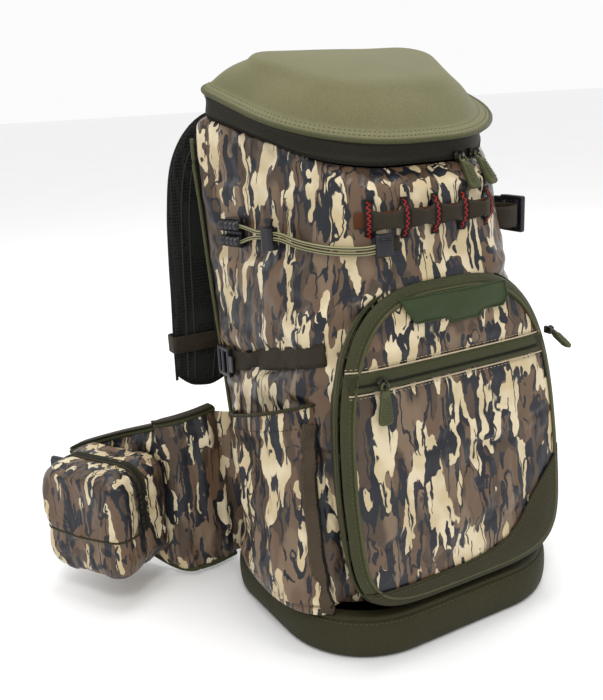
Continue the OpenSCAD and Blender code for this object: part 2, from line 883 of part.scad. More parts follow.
mirror([1, 0, 0]) pouch_tub();  // pouch_tub_right
pouch_flap();  // pouch_flap_left
mirror([1, 0, 0]) pouch_flap();  // pouch_flap_right
pouch_pull();  // pouch_pull_left
mirror([1, 0, 0]) pouch_pull();  // pouch_pull_right
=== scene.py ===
import bpy
import math
import numpy as np
from mathutils import Matrix, Vector, noise
from mathutils.bvhtree import BVHTree


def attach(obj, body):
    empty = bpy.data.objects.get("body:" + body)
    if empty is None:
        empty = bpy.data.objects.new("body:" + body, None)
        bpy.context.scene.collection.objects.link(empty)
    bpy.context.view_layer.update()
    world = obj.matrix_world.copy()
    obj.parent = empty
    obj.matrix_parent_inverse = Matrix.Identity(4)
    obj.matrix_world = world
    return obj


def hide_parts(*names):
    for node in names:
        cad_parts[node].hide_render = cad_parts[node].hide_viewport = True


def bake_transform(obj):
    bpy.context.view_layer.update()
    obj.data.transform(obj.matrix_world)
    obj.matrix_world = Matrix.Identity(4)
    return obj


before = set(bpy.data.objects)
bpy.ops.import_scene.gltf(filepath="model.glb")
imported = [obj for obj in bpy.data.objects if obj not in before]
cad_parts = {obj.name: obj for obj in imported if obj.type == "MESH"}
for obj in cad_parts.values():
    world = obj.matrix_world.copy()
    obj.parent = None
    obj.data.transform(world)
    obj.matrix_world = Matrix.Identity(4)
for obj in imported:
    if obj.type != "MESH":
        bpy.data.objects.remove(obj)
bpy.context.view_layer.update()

# Geometry is worked out in millimetres in the CAD frame and made in metres.
MM = 0.001
UP, FORWARD = (0, 0, 1), (0, -1, 0)
SIDES = (("left", -1), ("right", 1))


# ---------- camera ----------

def make_camera():
    turn, tilt, roll = math.radians(28.034), math.radians(16.828), math.radians(3.215)
    away, target, lens, sensor = 0.78991, Vector((-0.08332, 0, 0.25507)), 43.08, 36
    look = Vector((math.sin(turn) * math.cos(tilt), math.cos(turn) * math.cos(tilt),
                   -math.sin(tilt)))
    right = Vector((math.cos(turn), -math.sin(turn), 0))
    up = right.cross(look)
    r2 = right * math.cos(roll) - up * math.sin(roll)
    u2 = right * math.sin(roll) + up * math.cos(roll)
    data = bpy.data.cameras.new("camera")
    data.lens, data.sensor_width, data.clip_start, data.clip_end = lens, sensor, 0.01, 50
    cam = bpy.data.objects.new("camera", data)
    m = Matrix((r2, u2, -look)).transposed().to_4x4()
    m.translation = target - look * away
    cam.matrix_world = m
    bpy.context.scene.collection.objects.link(cam)
    bpy.context.scene.camera = cam


make_camera()


# ---------- curves and surfaces ----------

def vec(*v):
    return np.array(v, float)


def unit(v):
    v = np.asarray(v, float)
    return v / np.maximum(np.linalg.norm(v, axis=-1, keepdims=True), 1e-12)


def smooth(x, a, b):
    t = np.clip((x - a) / (b - a), 0, 1)
    return t * t * (3 - 2 * t)


def rounded(x, power):
    """A sine or cosine that keeps its sign and is flattened by a power below 1."""
    return np.sign(x) * np.abs(x) ** power


def rejoined(p):
    """A ring of points with its first point again at its end."""
    return np.vstack([p, p[:1]])


def resample(p, n, closed=False):
    """n points evenly along a polyline."""
    p = np.asarray(p, float)
    q = rejoined(p) if closed else p
    s = np.r_[0, np.cumsum(np.linalg.norm(np.diff(q, axis=0), axis=1))]
    t = np.linspace(0, s[-1], n + 1)[:-1] if closed else np.linspace(0, s[-1], n)
    return np.stack([np.interp(t, s, q[:, k]) for k in range(q.shape[1])], 1)


def spline(p, steps=8):
    """A Catmull-Rom curve through points, of any width."""
    p = np.asarray(p, float)
    out = []
    for i in range(len(p) - 1):
        a, b, c, d = p[max(i - 1, 0)], p[i], p[i + 1], p[min(i + 2, len(p) - 1)]
        for k in range(steps + (i == len(p) - 2)):
            t = k / steps
            out.append(0.5 * (2 * b + (c - a) * t + (2 * a - 5 * b + 4 * c - d) * t * t
                              + (3 * b - a - 3 * c + d) * t ** 3))
    return np.array(out)


def count_along(p, step):
    """How many points a path takes that are about step mm apart."""
    length = np.linalg.norm(np.diff(p, axis=0), axis=1).sum()
    return max(3, int(round(length / step)) + 1)


def evenly(p, step):
    p = np.asarray(p, float)
    return resample(p, count_along(p, step))


def outer_along(path, out, step=1.7):
    """Normals resampled for a path that coil() or stitches() spaces again."""
    return unit(resample(np.hstack([path, out]), count_along(path, step))[:, 3:])


def fractal(p, scale, octaves=3):
    """Smooth repeatable noise, about -1 to 1, at points p with features of the given size."""
    q = np.asarray(p, float) / scale
    return np.array([noise.fractal(Vector(v), 1.0, 2.0, octaves) for v in q.reshape(-1, 3)]
                    ).reshape(q.shape[:-1])


def plan_ring(hf, hb, yf, yb, rf, rb, zf, zb, n=160):
    """The CAD's outline in plan, a round-cornered trapezoid, from its front centre."""
    s = -math.atan2(hb - hf, yb - yf)
    a = np.linspace(-math.pi / 2, s, 24)
    b = np.linspace(s, math.pi / 2, 12)
    fx = hf - rf * (1 + math.sin(s)) / math.cos(s)
    bx = hb - rb * (1 - math.sin(s)) / math.cos(s)
    half = np.vstack([np.c_[fx + rf * np.cos(a), yf + rf + rf * np.sin(a)],
                      np.c_[bx + rb * np.cos(b), yb - rb + rb * np.sin(b)]])
    ring = np.vstack([[[0, yf]], half, [[0, yb]], half[::-1] * [-1, 1]])
    ring = resample(ring, n, True)
    return np.c_[ring, zf + (zb - zf) * (ring[:, 1] - yf) / (yb - yf)]


def normals(P, wrap=True):
    """Unit normals of a grid of points P[v, u], outward for rings that run front to right."""
    du = (np.roll(P, -1, 1) - np.roll(P, 1, 1)) if wrap else np.gradient(P, axis=1)
    return unit(np.cross(du, np.gradient(P, axis=0)))


def ring_normals(below, above):
    """The outward normals of the wall between two rings, with the first again at the end."""
    return rejoined(normals(np.array([below, above]))[0])


def face_normal(P, v, u):
    """The direction that the face of a grid at row v and column u looks in."""
    return np.cross(P[v, u + 1] - P[v, u], P[v + 1, u] - P[v, u])


def frames(p, hint=UP):
    """Tangent, side and normal along a path, with side as near hint as can be."""
    t = unit(np.gradient(p, axis=0))
    h = np.broadcast_to(np.asarray(hint, float), p.shape)
    s = unit(h - t * (h * t).sum(1, keepdims=True))
    return t, s, np.cross(t, s)


def turned(deg):
    """Axes as rows, turned about Z."""
    t = math.radians(deg)
    return np.array([[math.cos(t), math.sin(t), 0], [-math.sin(t), math.cos(t), 0], [0, 0, 1]])


# ---------- mesh parts: (points, faces, map) ----------

def grid(P, wrap=False, cap=False, uv=None):
    nv, nu = P.shape[:2]
    i = np.arange(nu if wrap else nu - 1)
    faces = []
    for j in range(nv - 1):
        a, b = j * nu + i, j * nu + (i + 1) % nu
        faces += np.stack([a, b, b + nu, a + nu], 1).tolist()
    if cap:
        faces += [list(range(nu))[::-1], list(range((nv - 1) * nu, nv * nu))]
    if uv is None:
        su = np.r_[0, np.cumsum(np.linalg.norm(np.diff(P[nv // 2], axis=0), axis=1))]
        sv = np.r_[0, np.cumsum(np.linalg.norm(np.diff(P[:, nu // 2], axis=0), axis=1))]
        uv = np.stack(np.meshgrid(su, sv), -1)
    return P.reshape(-1, 3), faces, uv.reshape(-1, 2) * MM


def rod(path, r, sides=10, cap=True, hint=UP, flat=1.0):
    """A round or oval tube along a path; r may vary along it."""
    p = np.asarray(path, float)
    _, s, n = frames(p, hint)
    a = np.linspace(0, 2 * math.pi, sides, endpoint=False)
    r = np.broadcast_to(np.asarray(r, float), (len(p),))[:, None, None]
    P = p[:, None] + r * (np.cos(a)[:, None] * s[:, None] + flat * np.sin(a)[:, None] * n[:, None])
    return grid(P, True, cap)


def strap(path, side, width, thick, edge=0.45, across=7):
    """A flat webbing with round edges along a path, mapped across and along in metres."""
    p = np.asarray(path, float)
    _, s, n = frames(p, side)
    w = np.broadcast_to(np.asarray(width, float) / 2, (len(p),))[:, None]
    h = thick / 2
    top = np.linspace(-1, 1, across)
    q = [(x, (1 - edge * abs(x) ** 8)) for x in top] + [(x, -(1 - edge * abs(x) ** 8))
                                                       for x in top[::-1]]
    P = np.stack([p + s * w * x + n * h * y for x, y in q], 1)
    along = np.r_[0, np.cumsum(np.linalg.norm(np.diff(p, axis=0), axis=1))]
    uv = np.stack([np.stack([w[:, 0] * x, along], 1) for x, _ in q], 1)
    return grid(P, True, True, uv)


def block(size, at=(0, 0, 0), axes=None, r=1.0, steps=3):
    """A box whose edges are all round, centred at a point, on axes given as rows."""
    size = np.asarray(size, float) / 2
    r = min(r, *(size * 0.999))
    n = 2 * steps + 2
    k = np.linspace(-1, 1, n)
    verts, faces = [], []
    for axis in range(3):
        for sign in (-1, 1):
            p = np.full((n, n, 3), float(sign))
            p[..., (axis + 1) % 3], p[..., (axis + 2) % 3] = np.meshgrid(k, k)
            bend = np.maximum(np.abs(p) * (steps + 0.5) - 0.5, 0) / steps
            q = np.sign(p) * (size - r) + r * unit(np.sign(p) * bend ** 2 + 1e-9 * p)
            faces += [[i + len(verts) for i in g[::sign]] for g in grid(q)[1]]
            verts += q.reshape(-1, 3).tolist()
    v = np.array(verts)
    m = np.eye(3) if axes is None else np.asarray(axes, float)
    return v @ m + np.asarray(at, float), faces, v[:, :2] * MM


def plate(outline, thick, at, axes, bevel=0.4):
    """A plate cut to an outline with bevelled edges; outline in the plane of axes 0 and 1."""
    o = np.asarray(outline, float)
    c = o.mean(0)
    small = o + unit(c - o) * bevel
    rings = [(small, -thick / 2), (o, -thick / 2 + bevel), (o, thick / 2 - bevel),
             (small, thick / 2)]
    P = np.array([np.c_[r, np.full(len(r), z)] for r, z in rings])
    v, f, uv = grid(P, True, True)
    return v @ np.asarray(axes, float) + np.asarray(at, float), f, uv


def rounded_outline(w, h, r, n=6):
    pts = []
    for cx, cy, a in ((w / 2 - r, h / 2 - r, 0), (r - w / 2, h / 2 - r, 90),
                      (r - w / 2, r - h / 2, 180), (w / 2 - r, r - h / 2, 270)):
        for t in np.radians(np.linspace(a, a + 90, n)):
            pts.append((cx + r * math.cos(t), cy + r * math.sin(t)))
    return np.array(pts)


def stitches(path, out, length=2.6, gap=1.5, r=0.33):
    """A row of thread stitches along a path on a surface, lifted along out."""
    p = evenly(path, (length + gap) / 2)
    _, s, n = frames(p, out)
    verts, faces = [], []
    ring = [(math.cos(a), math.sin(a)) for a in np.linspace(0, 2 * math.pi, 5)[:-1]]
    for i in range(0, len(p) - 1, 2):
        a, b = p[i], p[i + 1]
        b = a + unit(b - a) * length
        mid = (a + b) / 2 + s[i] * r * 0.7
        base = len(verts)
        for q, k in ((a - s[i] * r, 0.6), (mid, 1.0), (b - s[i] * r, 0.6)):
            verts += [q + r * k * (x * s[i] + y * n[i]) for x, y in ring]
        for j in range(2):
            for m in range(4):
                u, w = base + 4 * j + m, base + 4 * j + (m + 1) % 4
                faces.append([u, w, w + 4, u + 4])
        faces += [[base, base + 1, base + 2, base + 3][::-1],
                  [base + 8, base + 9, base + 10, base + 11]]
    return np.array(verts), faces, np.zeros((len(verts), 2))


def coil(path, out, width=4.6, pitch=1.7, r=0.75):
    """A zip's coil: two rows of slanted round teeth along a path, on the surface facing out."""
    p = evenly(path, pitch)
    t, s, n = frames(p, out)
    verts, faces = [], []
    ring = [(math.cos(a), math.sin(a)) for a in np.linspace(0, 2 * math.pi, 6)[:-1]]
    for i in range(len(p)):
        for side in (-1, 1):
            c = p[i] + t[i] * pitch * 0.25 * side
            ends = [c + n[i] * side * 0.2 - t[i] * 0.3,
                    c + n[i] * side * width * 0.28 + s[i] * 0.25,
                    c + n[i] * side * width / 2 + t[i] * 0.3 - s[i] * 0.2]
            base = len(verts)
            for q in ends:
                verts += [q + r * (x * s[i] + y * t[i]) * 0.9 for x, y in ring]
            for j in range(2):
                for m in range(5):
                    u, w = base + 5 * j + m, base + 5 * j + (m + 1) % 5
                    faces.append([u, w, w + 5, u + 5] if side > 0 else [u, u + 5, w + 5, w])
    return np.array(verts), faces, np.zeros((len(verts), 2))


def turned_over(part, wanted=True):
    """The part with its faces looking the other way, if that is wanted."""
    v, f, uv = part
    return (v, [g[::-1] for g in f], uv) if wanted else part


def flipped(part):
    """The part mirrored to the other side of the pack."""
    v, f, uv = part
    return turned_over((v * [-1, 1, 1], f, uv))


# ---------- pieces ----------

def piece(name, parts, body, mats, replaces=(), subdiv=0, thick=0, flat=False,
          inner=None):
    """One object made of parts; mats is one material or one for each part, and inner is
    the material of the inside that thick gives it."""
    mats = mats if isinstance(mats, (list, tuple)) else [mats] * len(parts)
    unique = list(dict.fromkeys(mats))
    verts, faces, index, uvs, base = [], [], [], [], 0
    for (v, f, uv), m in zip(parts, mats):
        verts.append(v)
        uvs.append(uv)
        faces += [[k + base for k in g] for g in f]
        index += [unique.index(m)] * len(f)
        base += len(v)
    mesh = bpy.data.meshes.new(name)
    mesh.from_pydata((np.vstack(verts) * MM).tolist(), [], faces)
    uv = np.vstack(uvs)
    layer = mesh.uv_layers.new(name="map")
    loop_vertex = np.zeros(len(mesh.loops), np.int32)
    mesh.loops.foreach_get("vertex_index", loop_vertex)
    layer.data.foreach_set("uv", uv[loop_vertex].astype(np.float32).ravel())
    mesh.polygons.foreach_set("material_index", index)
    mesh.polygons.foreach_set("use_smooth", [not flat] * len(faces))
    for m in unique:
        mesh.materials.append(m)
    mesh.update()
    o = bpy.data.objects.new(name, mesh)
    bpy.context.scene.collection.objects.link(o)
    if thick:
        s = o.modifiers.new("thickness", "SOLIDIFY")
        s.thickness, s.offset = thick * MM, -1
        if inner:
            mesh.materials.append(inner)
            s.material_offset = len(mesh.materials) - 1
    if subdiv:
        s = o.modifiers.new("smooth", "SUBSURF")
        s.levels = s.render_levels = subdiv
    if body:
        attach(o, body)
    if replaces:
        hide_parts(*replaces)
    return o


def drape(P, wrap, pin, grow=0.03, pressure=2.0, cap=4.0, frames_run=16, bend=0.2):
    """Runs a grid of points as cloth, cut slightly large and blown from inside, held where
    pin is 1, and returns its points, moved by cap mm at most."""
    v, f, _ = grid(P, wrap)
    mesh = bpy.data.meshes.new("drape")
    mesh.from_pydata((v * MM).tolist(), [], f)
    o = bpy.data.objects.new("drape", mesh)
    bpy.context.scene.collection.objects.link(o)
    group = o.vertex_groups.new(name="pin")
    w = pin.ravel()
    for level in np.unique(np.round(w, 1)):
        if level > 0:
            group.add(np.nonzero(np.round(w, 1) == level)[0].tolist(), float(level), "REPLACE")
    m = o.modifiers.new("cloth", "CLOTH")
    s = m.settings
    s.quality, s.mass, s.air_damping = 6, 0.2, 2
    s.tension_stiffness = s.compression_stiffness = 20
    s.shear_stiffness, s.bending_stiffness = 8, bend
    s.effector_weights.gravity = 0
    s.use_pressure, s.uniform_pressure_force = True, pressure
    s.vertex_group_mass = "pin"
    s.shrink_min = -grow
    m.point_cache.frame_start, m.point_cache.frame_end = 1, frames_run
    scene = bpy.context.scene
    for k in range(1, frames_run + 1):
        scene.frame_set(k)
    dg = bpy.context.evaluated_depsgraph_get()
    e = o.evaluated_get(dg).to_mesh()
    co = np.zeros(len(e.vertices) * 3)
    e.vertices.foreach_get("co", co)
    d = co.reshape(P.shape) / MM - P
    scene.frame_set(1)
    bpy.data.objects.remove(o)
    bpy.data.meshes.remove(mesh)
    size = np.linalg.norm(d, axis=-1, keepdims=True)
    return P + d * np.minimum(1, cap / np.maximum(size, 1e-9)) * (1 - pin[..., None])


def surface_tree(*parts):
    verts, faces = [], []
    for v, f, _ in parts:
        faces += [[k + len(verts) for k in g] for g in f]
        verts += v.tolist()
    return BVHTree.FromPolygons(verts, faces)


def lay_on(tree, path, lift, out=None):
    """Moves path points to the surface, lift mm off it, and returns them with normals."""
    pts, ns = [], []
    for k, p in enumerate(np.asarray(path, float)):
        hit, n, _, _ = tree.find_nearest(Vector(p))
        n = np.array(n)
        if out is not None and np.dot(n, np.asarray(out[k] if np.ndim(out) > 1 else out)) < 0:
            n = -n
        pts.append(np.array(hit) + n * lift)
        ns.append(n)
    return np.array(pts), np.array(ns)


# ---------- materials ----------

class Finish:
    """A node material, with short ways to add its texture nodes."""

    def __init__(self, name, rough=0.6, metal=0.0, specular=0.5, sheen=0.0, coat=0.0):
        self.m = bpy.data.materials.new(name)
        self.m.use_nodes = True
        self.t = self.m.node_tree
        self.shader = self.t.nodes["Principled BSDF"]
        for key, value in (("Roughness", rough), ("Metallic", metal),
                           ("Specular IOR Level", specular), ("Sheen Weight", sheen),
                           ("Coat Weight", coat), ("Coat Roughness", 0.3)):
            self.shader.inputs[key].default_value = value
        self.object = self.add("ShaderNodeTexCoord").outputs["Object"]
        uv = self.add("ShaderNodeUVMap")
        uv.uv_map = "map"
        self.uv = uv.outputs[0]
        self.height = []

    def add(self, kind, **props):
        n = self.t.nodes.new(kind)
        for k, v in props.items():
            setattr(n, k, v)
        return n

    def put(self, socket, value):
        if isinstance(value, bpy.types.NodeSocket):
            self.t.links.new(value, socket)
        else:
            socket.default_value = value

    def math(self, op, a, b=0.0, c=0.0, clamp=False):
        n = self.add("ShaderNodeMath", operation=op, use_clamp=clamp)
        for s, v in zip(n.inputs, (a, b, c)):
            self.put(s, v)
        return n.outputs[0]

    def vmath(self, op, a, b=(0, 0, 0)):
        n = self.add("ShaderNodeVectorMath", operation=op)
        self.put(n.inputs[0], a)
        self.put(n.inputs[1], b)
        return n.outputs[0]

    def noise(self, at, scale, detail=2.0, rough=0.5, distortion=0.0):
        n = self.add("ShaderNodeTexNoise")
        self.put(n.inputs["Vector"], at)
        for key, value in (("Scale", scale), ("Detail", detail), ("Roughness", rough),
                           ("Distortion", distortion)):
            n.inputs[key].default_value = value
        return n.outputs["Fac"]

    def step(self, value, a, b):
        n = self.add("ShaderNodeMapRange", interpolation_type="SMOOTHSTEP")
        self.put(n.inputs["Value"], value)
        n.inputs["From Min"].default_value, n.inputs["From Max"].default_value = a, b
        return n.outputs[0]

    def mix(self, fac, a, b):
        n = self.add("ShaderNodeMix", data_type="RGBA")
        self.put(n.inputs["Factor"], fac)
        for socket, v in ((n.inputs[6], a), (n.inputs[7], b)):
            self.put(socket, v if isinstance(v, bpy.types.NodeSocket) else (*v, 1))
        return n.outputs[2]

    def wave(self, at, scale, bands="X", distortion=0.0, profile="SIN"):
        n = self.add("ShaderNodeTexWave", bands_direction=bands, wave_profile=profile)
        self.put(n.inputs["Vector"], at)
        n.inputs["Scale"].default_value = scale
        n.inputs["Distortion"].default_value = distortion
        return n.outputs["Fac"]

    def bump(self, height, distance, strength=1.0):
        """Adds a relief, in metres, on top of those before it."""
        n = self.add("ShaderNodeBump")
        self.put(n.inputs["Height"], height)
        n.inputs["Distance"].default_value = distance
        n.inputs["Strength"].default_value = strength
        if self.height:
            self.t.links.new(self.height[-1], n.inputs["Normal"])
        self.height.append(n.outputs[0])

    def finish(self, colour, rough=None):
        self.put(self.shader.inputs["Base Color"],
                 colour if isinstance(colour, bpy.types.NodeSocket) else (*colour, 1))
        if rough is not None:
            self.put(self.shader.inputs["Roughness"], rough)
        if self.height:
            self.t.links.new(self.height[-1], self.shader.inputs["Normal"])
        return self.m


TAN, PALE_TAN = (0.5, 0.4, 0.235), (0.62, 0.53, 0.36)
BROWN, DARK_BROWN, GREY_BROWN = (0.118, 0.072, 0.042), (0.066, 0.042, 0.026), (0.17, 0.115, 0.072)
CHARCOAL = (0.011, 0.012, 0.017)


def camo_cloth(name, offset=(0, 0, 0), rough=0.31, glossy=0.34):
    """Coated cloth printed with bark: tan drips and charcoal shapes and lines on browns."""
    f = Finish(name, rough, specular=glossy)
    base = f.vmath("ADD", f.object, offset)
    warp_node = f.add("ShaderNodeTexNoise")
    f.put(warp_node.inputs["Vector"], base)
    warp_node.inputs["Scale"].default_value = 75
    warp_node.inputs["Detail"].default_value = 2.5
    warp = f.vmath("MULTIPLY", f.vmath("SUBTRACT", warp_node.outputs["Color"], (0.5, 0.5, 0.5)),
                   (0.006, 0.006, 0.014))
    p = f.vmath("ADD", base, warp)

    def layer(stretch, shift, scale, detail=1.0, at=None):
        at = f.vmath("ADD", f.vmath("MULTIPLY", at or p, (1, 1, stretch)),
                     (shift, shift * 0.7, shift))
        return f.noise(at, scale, detail, 0.5)

    browns = f.mix(f.step(layer(0.3, 5.7, 40), 0.49, 0.5), DARK_BROWN, BROWN)
    browns = f.mix(f.step(layer(0.22, 3.1, 30), 0.56, 0.64), browns, GREY_BROWN)
    tans = f.mix(f.step(f.noise(base, 30, 2), 0.4, 0.65), TAN, PALE_TAN)
    tan = layer(0.25, 0.0, 62)
    beside = layer(0.25, 0.0, 62, at=f.vmath("ADD", p, (0.0032, 0.0022, 0.002)))
    colour = f.mix(f.math("MULTIPLY", f.step(beside, 0.535, 0.541),
                          f.step(f.noise(base, 45, 1), 0.4, 0.44)), browns, CHARCOAL)
    colour = f.mix(f.step(tan, 0.541, 0.546), colour, tans)
    colour = f.mix(f.step(layer(0.2, 9.3, 88), 0.597, 0.603), colour, CHARCOAL)
    for shift, scale, width in ((13.1, 62, 0.026), (17.9, 84, 0.031)):
        line = f.math("ABSOLUTE", f.math("SUBTRACT", layer(0.065, shift, scale), 0.5))
        broken = f.step(f.noise(f.vmath("MULTIPLY", base, (1, 1, 0.5)), scale * 0.8, 1), 0.47,
                        0.51)
        colour = f.mix(f.math("MULTIPLY", f.step(line, width, width * 0.6), broken), colour,
                       CHARCOAL)
    f.bump(f.noise(f.vmath("MULTIPLY", base, (1, 1, 0.45)), 48, 3, 0.5), 0.004, 0.7)
    weave = f.math("MULTIPLY", f.wave(f.object, 380, "Z"), f.wave(f.object, 380, "DIAGONAL"))
    f.bump(weave, 0.0001, 0.35)
    roughness = f.math("MULTIPLY_ADD", f.noise(base, 40, 3), 0.22, rough - 0.1)
    return f.finish(colour, roughness)


def plain_cloth(name, light, dark, rough=0.8, grain=900, fleck=0.5, relief=0.00025, sheen=0.02,
                ribs=None):
    """A cloth of one colour with flecks, a grain, and ribs across if asked for."""
    f = Finish(name, rough, specular=0.13, sheen=sheen)
    speck = f.step(f.noise(f.object, grain, 2, 0.6), 0.5 - fleck / 2, 0.5 + fleck / 2)
    cloud = f.noise(f.object, 22, 3)
    colour = f.mix(f.math("MULTIPLY_ADD", cloud, 0.4, f.math("MULTIPLY", speck, 0.6)), dark,
                   light)
    f.bump(f.noise(f.object, grain * 0.8, 2), relief, 0.6)
    f.bump(cloud, 0.0015, 0.3)
    if ribs:
        f.bump(f.wave(f.uv, ribs[0], ribs[1]), ribs[2], 0.5)
    return f.finish(colour, f.math("MULTIPLY_ADD", speck, -0.12, rough + 0.05))


def webbing(name, light, dark, rough=0.62):
    """Woven tape: fine ribs across, a chevron of yarns, and darker worn patches."""
    f = Finish(name, rough, specular=0.15)
    split = f.add("ShaderNodeSeparateXYZ")
    f.put(split.inputs[0], f.uv)
    fold = f.math("ABSOLUTE", split.outputs["X"])
    join = f.add("ShaderNodeCombineXYZ")
    f.put(join.inputs["X"], f.math("MULTIPLY_ADD", fold, 0.6, split.outputs["Y"]))
    yarn = f.wave(join.outputs[0], 190, "X")
    rib = f.wave(f.uv, 240, "X")
    worn = f.noise(f.object, 90, 3)
    colour = f.mix(f.math("MULTIPLY", yarn, worn), dark, light)
    f.bump(yarn, 0.0005, 0.7)
    f.bump(rib, 0.0002, 0.5)
    return f.finish(colour, f.math("MULTIPLY_ADD", worn, 0.2, rough - 0.1))


def moulded_plastic(name, colour, rough=0.28):
    f = Finish(name, rough, specular=0.4)
    worn = f.noise(f.object, 160, 4, 0.6)
    tint = f.mix(f.step(worn, 0.55, 0.75), colour, tuple(2.4 * c + 0.006 for c in colour))
    f.bump(f.noise(f.object, 1400, 2), 0.00008, 0.5)
    return f.finish(tint, f.math("MULTIPLY_ADD", worn, 0.3, rough - 0.12))


def mesh_cloth(name, dark, light):
    """Spacer mesh: rows of small open cells in a knitted face."""
    f = Finish(name, 0.85, specular=0.1)
    cells = f.add("ShaderNodeTexVoronoi", feature="DISTANCE_TO_EDGE")
    f.put(cells.inputs["Vector"], f.vmath("MULTIPLY", f.object, (1, 1, 0.7)))
    cells.inputs["Scale"].default_value = 420
    cells.inputs["Randomness"].default_value = 0.25
    knit = f.step(cells.outputs["Distance"], 0.08, 0.3)
    f.bump(knit, 0.0008, 0.6)
    f.bump(f.noise(f.object, 60, 3), 0.001, 0.4)
    return f.finish(f.mix(knit, light, dark), f.math("MULTIPLY_ADD", knit, 0.1, 0.75))


def rubber(name, light, dark, rough=0.55):
    f = Finish(name, rough, specular=0.2)
    speck = f.noise(f.object, 260, 4, 0.65)
    f.bump(f.noise(f.object, 1100, 2), 0.00012, 0.6)
    return f.finish(f.mix(speck, dark, light), f.math("MULTIPLY_ADD", speck, 0.2, rough - 0.1))


def braid(name):
    """Shock cord's braid: pale olive with dark tracer yarns on a slant."""
    f = Finish(name, 0.6, specular=0.2)
    twist = f.wave(f.uv, 330, "DIAGONAL")
    stripe = f.wave(f.vmath("MULTIPLY", f.uv, (1, 0.05, 1)), 120, "X")
    colour = f.mix(f.step(stripe, 0.35, 0.6), (0.035, 0.035, 0.022), (0.36, 0.34, 0.18))
    f.bump(twist, 0.0003, 0.7)
    return f.finish(f.mix(f.math("MULTIPLY", twist, 0.35), colour, (0.1, 0.095, 0.05)))


def coated_metal(name, colour):
    f = Finish(name, 0.4, metal=0.7)
    worn = f.noise(f.object, 300, 4)
    f.bump(worn, 0.0001, 0.5)
    return f.finish(f.mix(f.step(worn, 0.55, 0.7), colour, (0.25, 0.24, 0.2)),
                    f.math("MULTIPLY_ADD", worn, 0.3, 0.25))


OLIVE, OLIVE_DARK = (0.05, 0.051, 0.022), (0.027, 0.029, 0.012)
CAMO = camo_cloth("camo")
CAMO_PANEL = camo_cloth("camo_panel", (0.31, 0.12, 0.05))
CAMO_POCKET = camo_cloth("camo_pocket", (0.07, 0.43, 0.21))
CAMO_BELT = camo_cloth("camo_belt", (0.61, 0.27, 0.13), 0.4)
LID_CLOTH = plain_cloth("lid_cloth", (0.172, 0.165, 0.085), (0.105, 0.1, 0.049), 0.85, 1100,
                        sheen=0.1)
BASE_CLOTH = plain_cloth("base_cloth", (0.04, 0.038, 0.017), (0.022, 0.021, 0.0095), 0.7, 800)
GUARD = plain_cloth("guard_cloth", (0.038, 0.034, 0.0145), (0.021, 0.019, 0.008), 0.6, 700)
BAND = plain_cloth("band_cloth", (0.028, 0.026, 0.016), (0.015, 0.014, 0.009), 0.6, 900,
                   ribs=(160, "Y", 0.0003))
TAPE = plain_cloth("tape", OLIVE, OLIVE_DARK, 0.55, 900, ribs=(260, "X", 0.0002))
PIPING = plain_cloth("piping", (0.085, 0.085, 0.038), (0.045, 0.045, 0.02), 0.5, 700)
COIL = rubber("coil", (0.07, 0.07, 0.03), (0.035, 0.036, 0.016), 0.4)
DARK_COIL = rubber("dark_coil", (0.022, 0.02, 0.014), (0.011, 0.01, 0.007), 0.45)
LINING = plain_cloth("lining", (0.022, 0.022, 0.016), (0.013, 0.013, 0.01), 0.8, 700)
WEB = webbing("brown_web", (0.06, 0.045, 0.028), (0.02, 0.016, 0.01))
BINDING = webbing("binding", (0.115, 0.082, 0.052), (0.05, 0.037, 0.024))
DARK_WEB = webbing("dark_web", (0.022, 0.02, 0.016), (0.008, 0.0075, 0.006))
RUST_WEB = webbing("rust_web", (0.16, 0.055, 0.018), (0.06, 0.022, 0.009))
THREAD = rubber("pale_thread", (0.5, 0.42, 0.29), (0.34, 0.27, 0.18), 0.6)
OLIVE_THREAD = rubber("olive_thread", (0.13, 0.125, 0.06), (0.07, 0.066, 0.032), 0.6)
DARK_THREAD = rubber("dark_thread", (0.03, 0.03, 0.021), (0.016, 0.016, 0.012), 0.6)
RED_THREAD = rubber("red_thread", (0.55, 0.022, 0.015), (0.3, 0.01, 0.008), 0.5)
PLASTIC = moulded_plastic("black_plastic", (0.008, 0.008, 0.011))
MESH = mesh_cloth("black_mesh", (0.0045, 0.005, 0.0045), (0.016, 0.0175, 0.015))
PATCH = rubber("green_rubber", (0.036, 0.052, 0.019), (0.024, 0.036, 0.013), 0.42)
PULL = rubber("olive_rubber", (0.085, 0.09, 0.038), (0.045, 0.048, 0.02), 0.5)
BRAID = braid("braid")
METAL = coated_metal("coated_metal", (0.025, 0.023, 0.018))
ALU = coated_metal("stay_metal", (0.55, 0.55, 0.55))


# ---------- cords ----------

def bungee_strand(side):
    """One strand of the bungee: from the anchor's tube, through the toggle, to the end clip."""
    return spline([(-129.9, 29.3, 368 + 7 * side), (-127.2, 20.5, 368 + 7 * side),
                   (-126, 8, 369.4 + 4.6 * side), (-123.9, -6.5, 370 + 2.3 * side),
                   (-119.5, -20.5, 370 + 2.3 * side), (-115, -34.8, 369.6 + 2.3 * side),
                   (-105.4, -49, 364 + 2.3 * side), (-93, -77.4, 361 + 2.3 * side),
                   (-74.4, -95, 360 + 2.3 * side), (-61, -102.6, 361.6 + 2.3 * side)], 6)


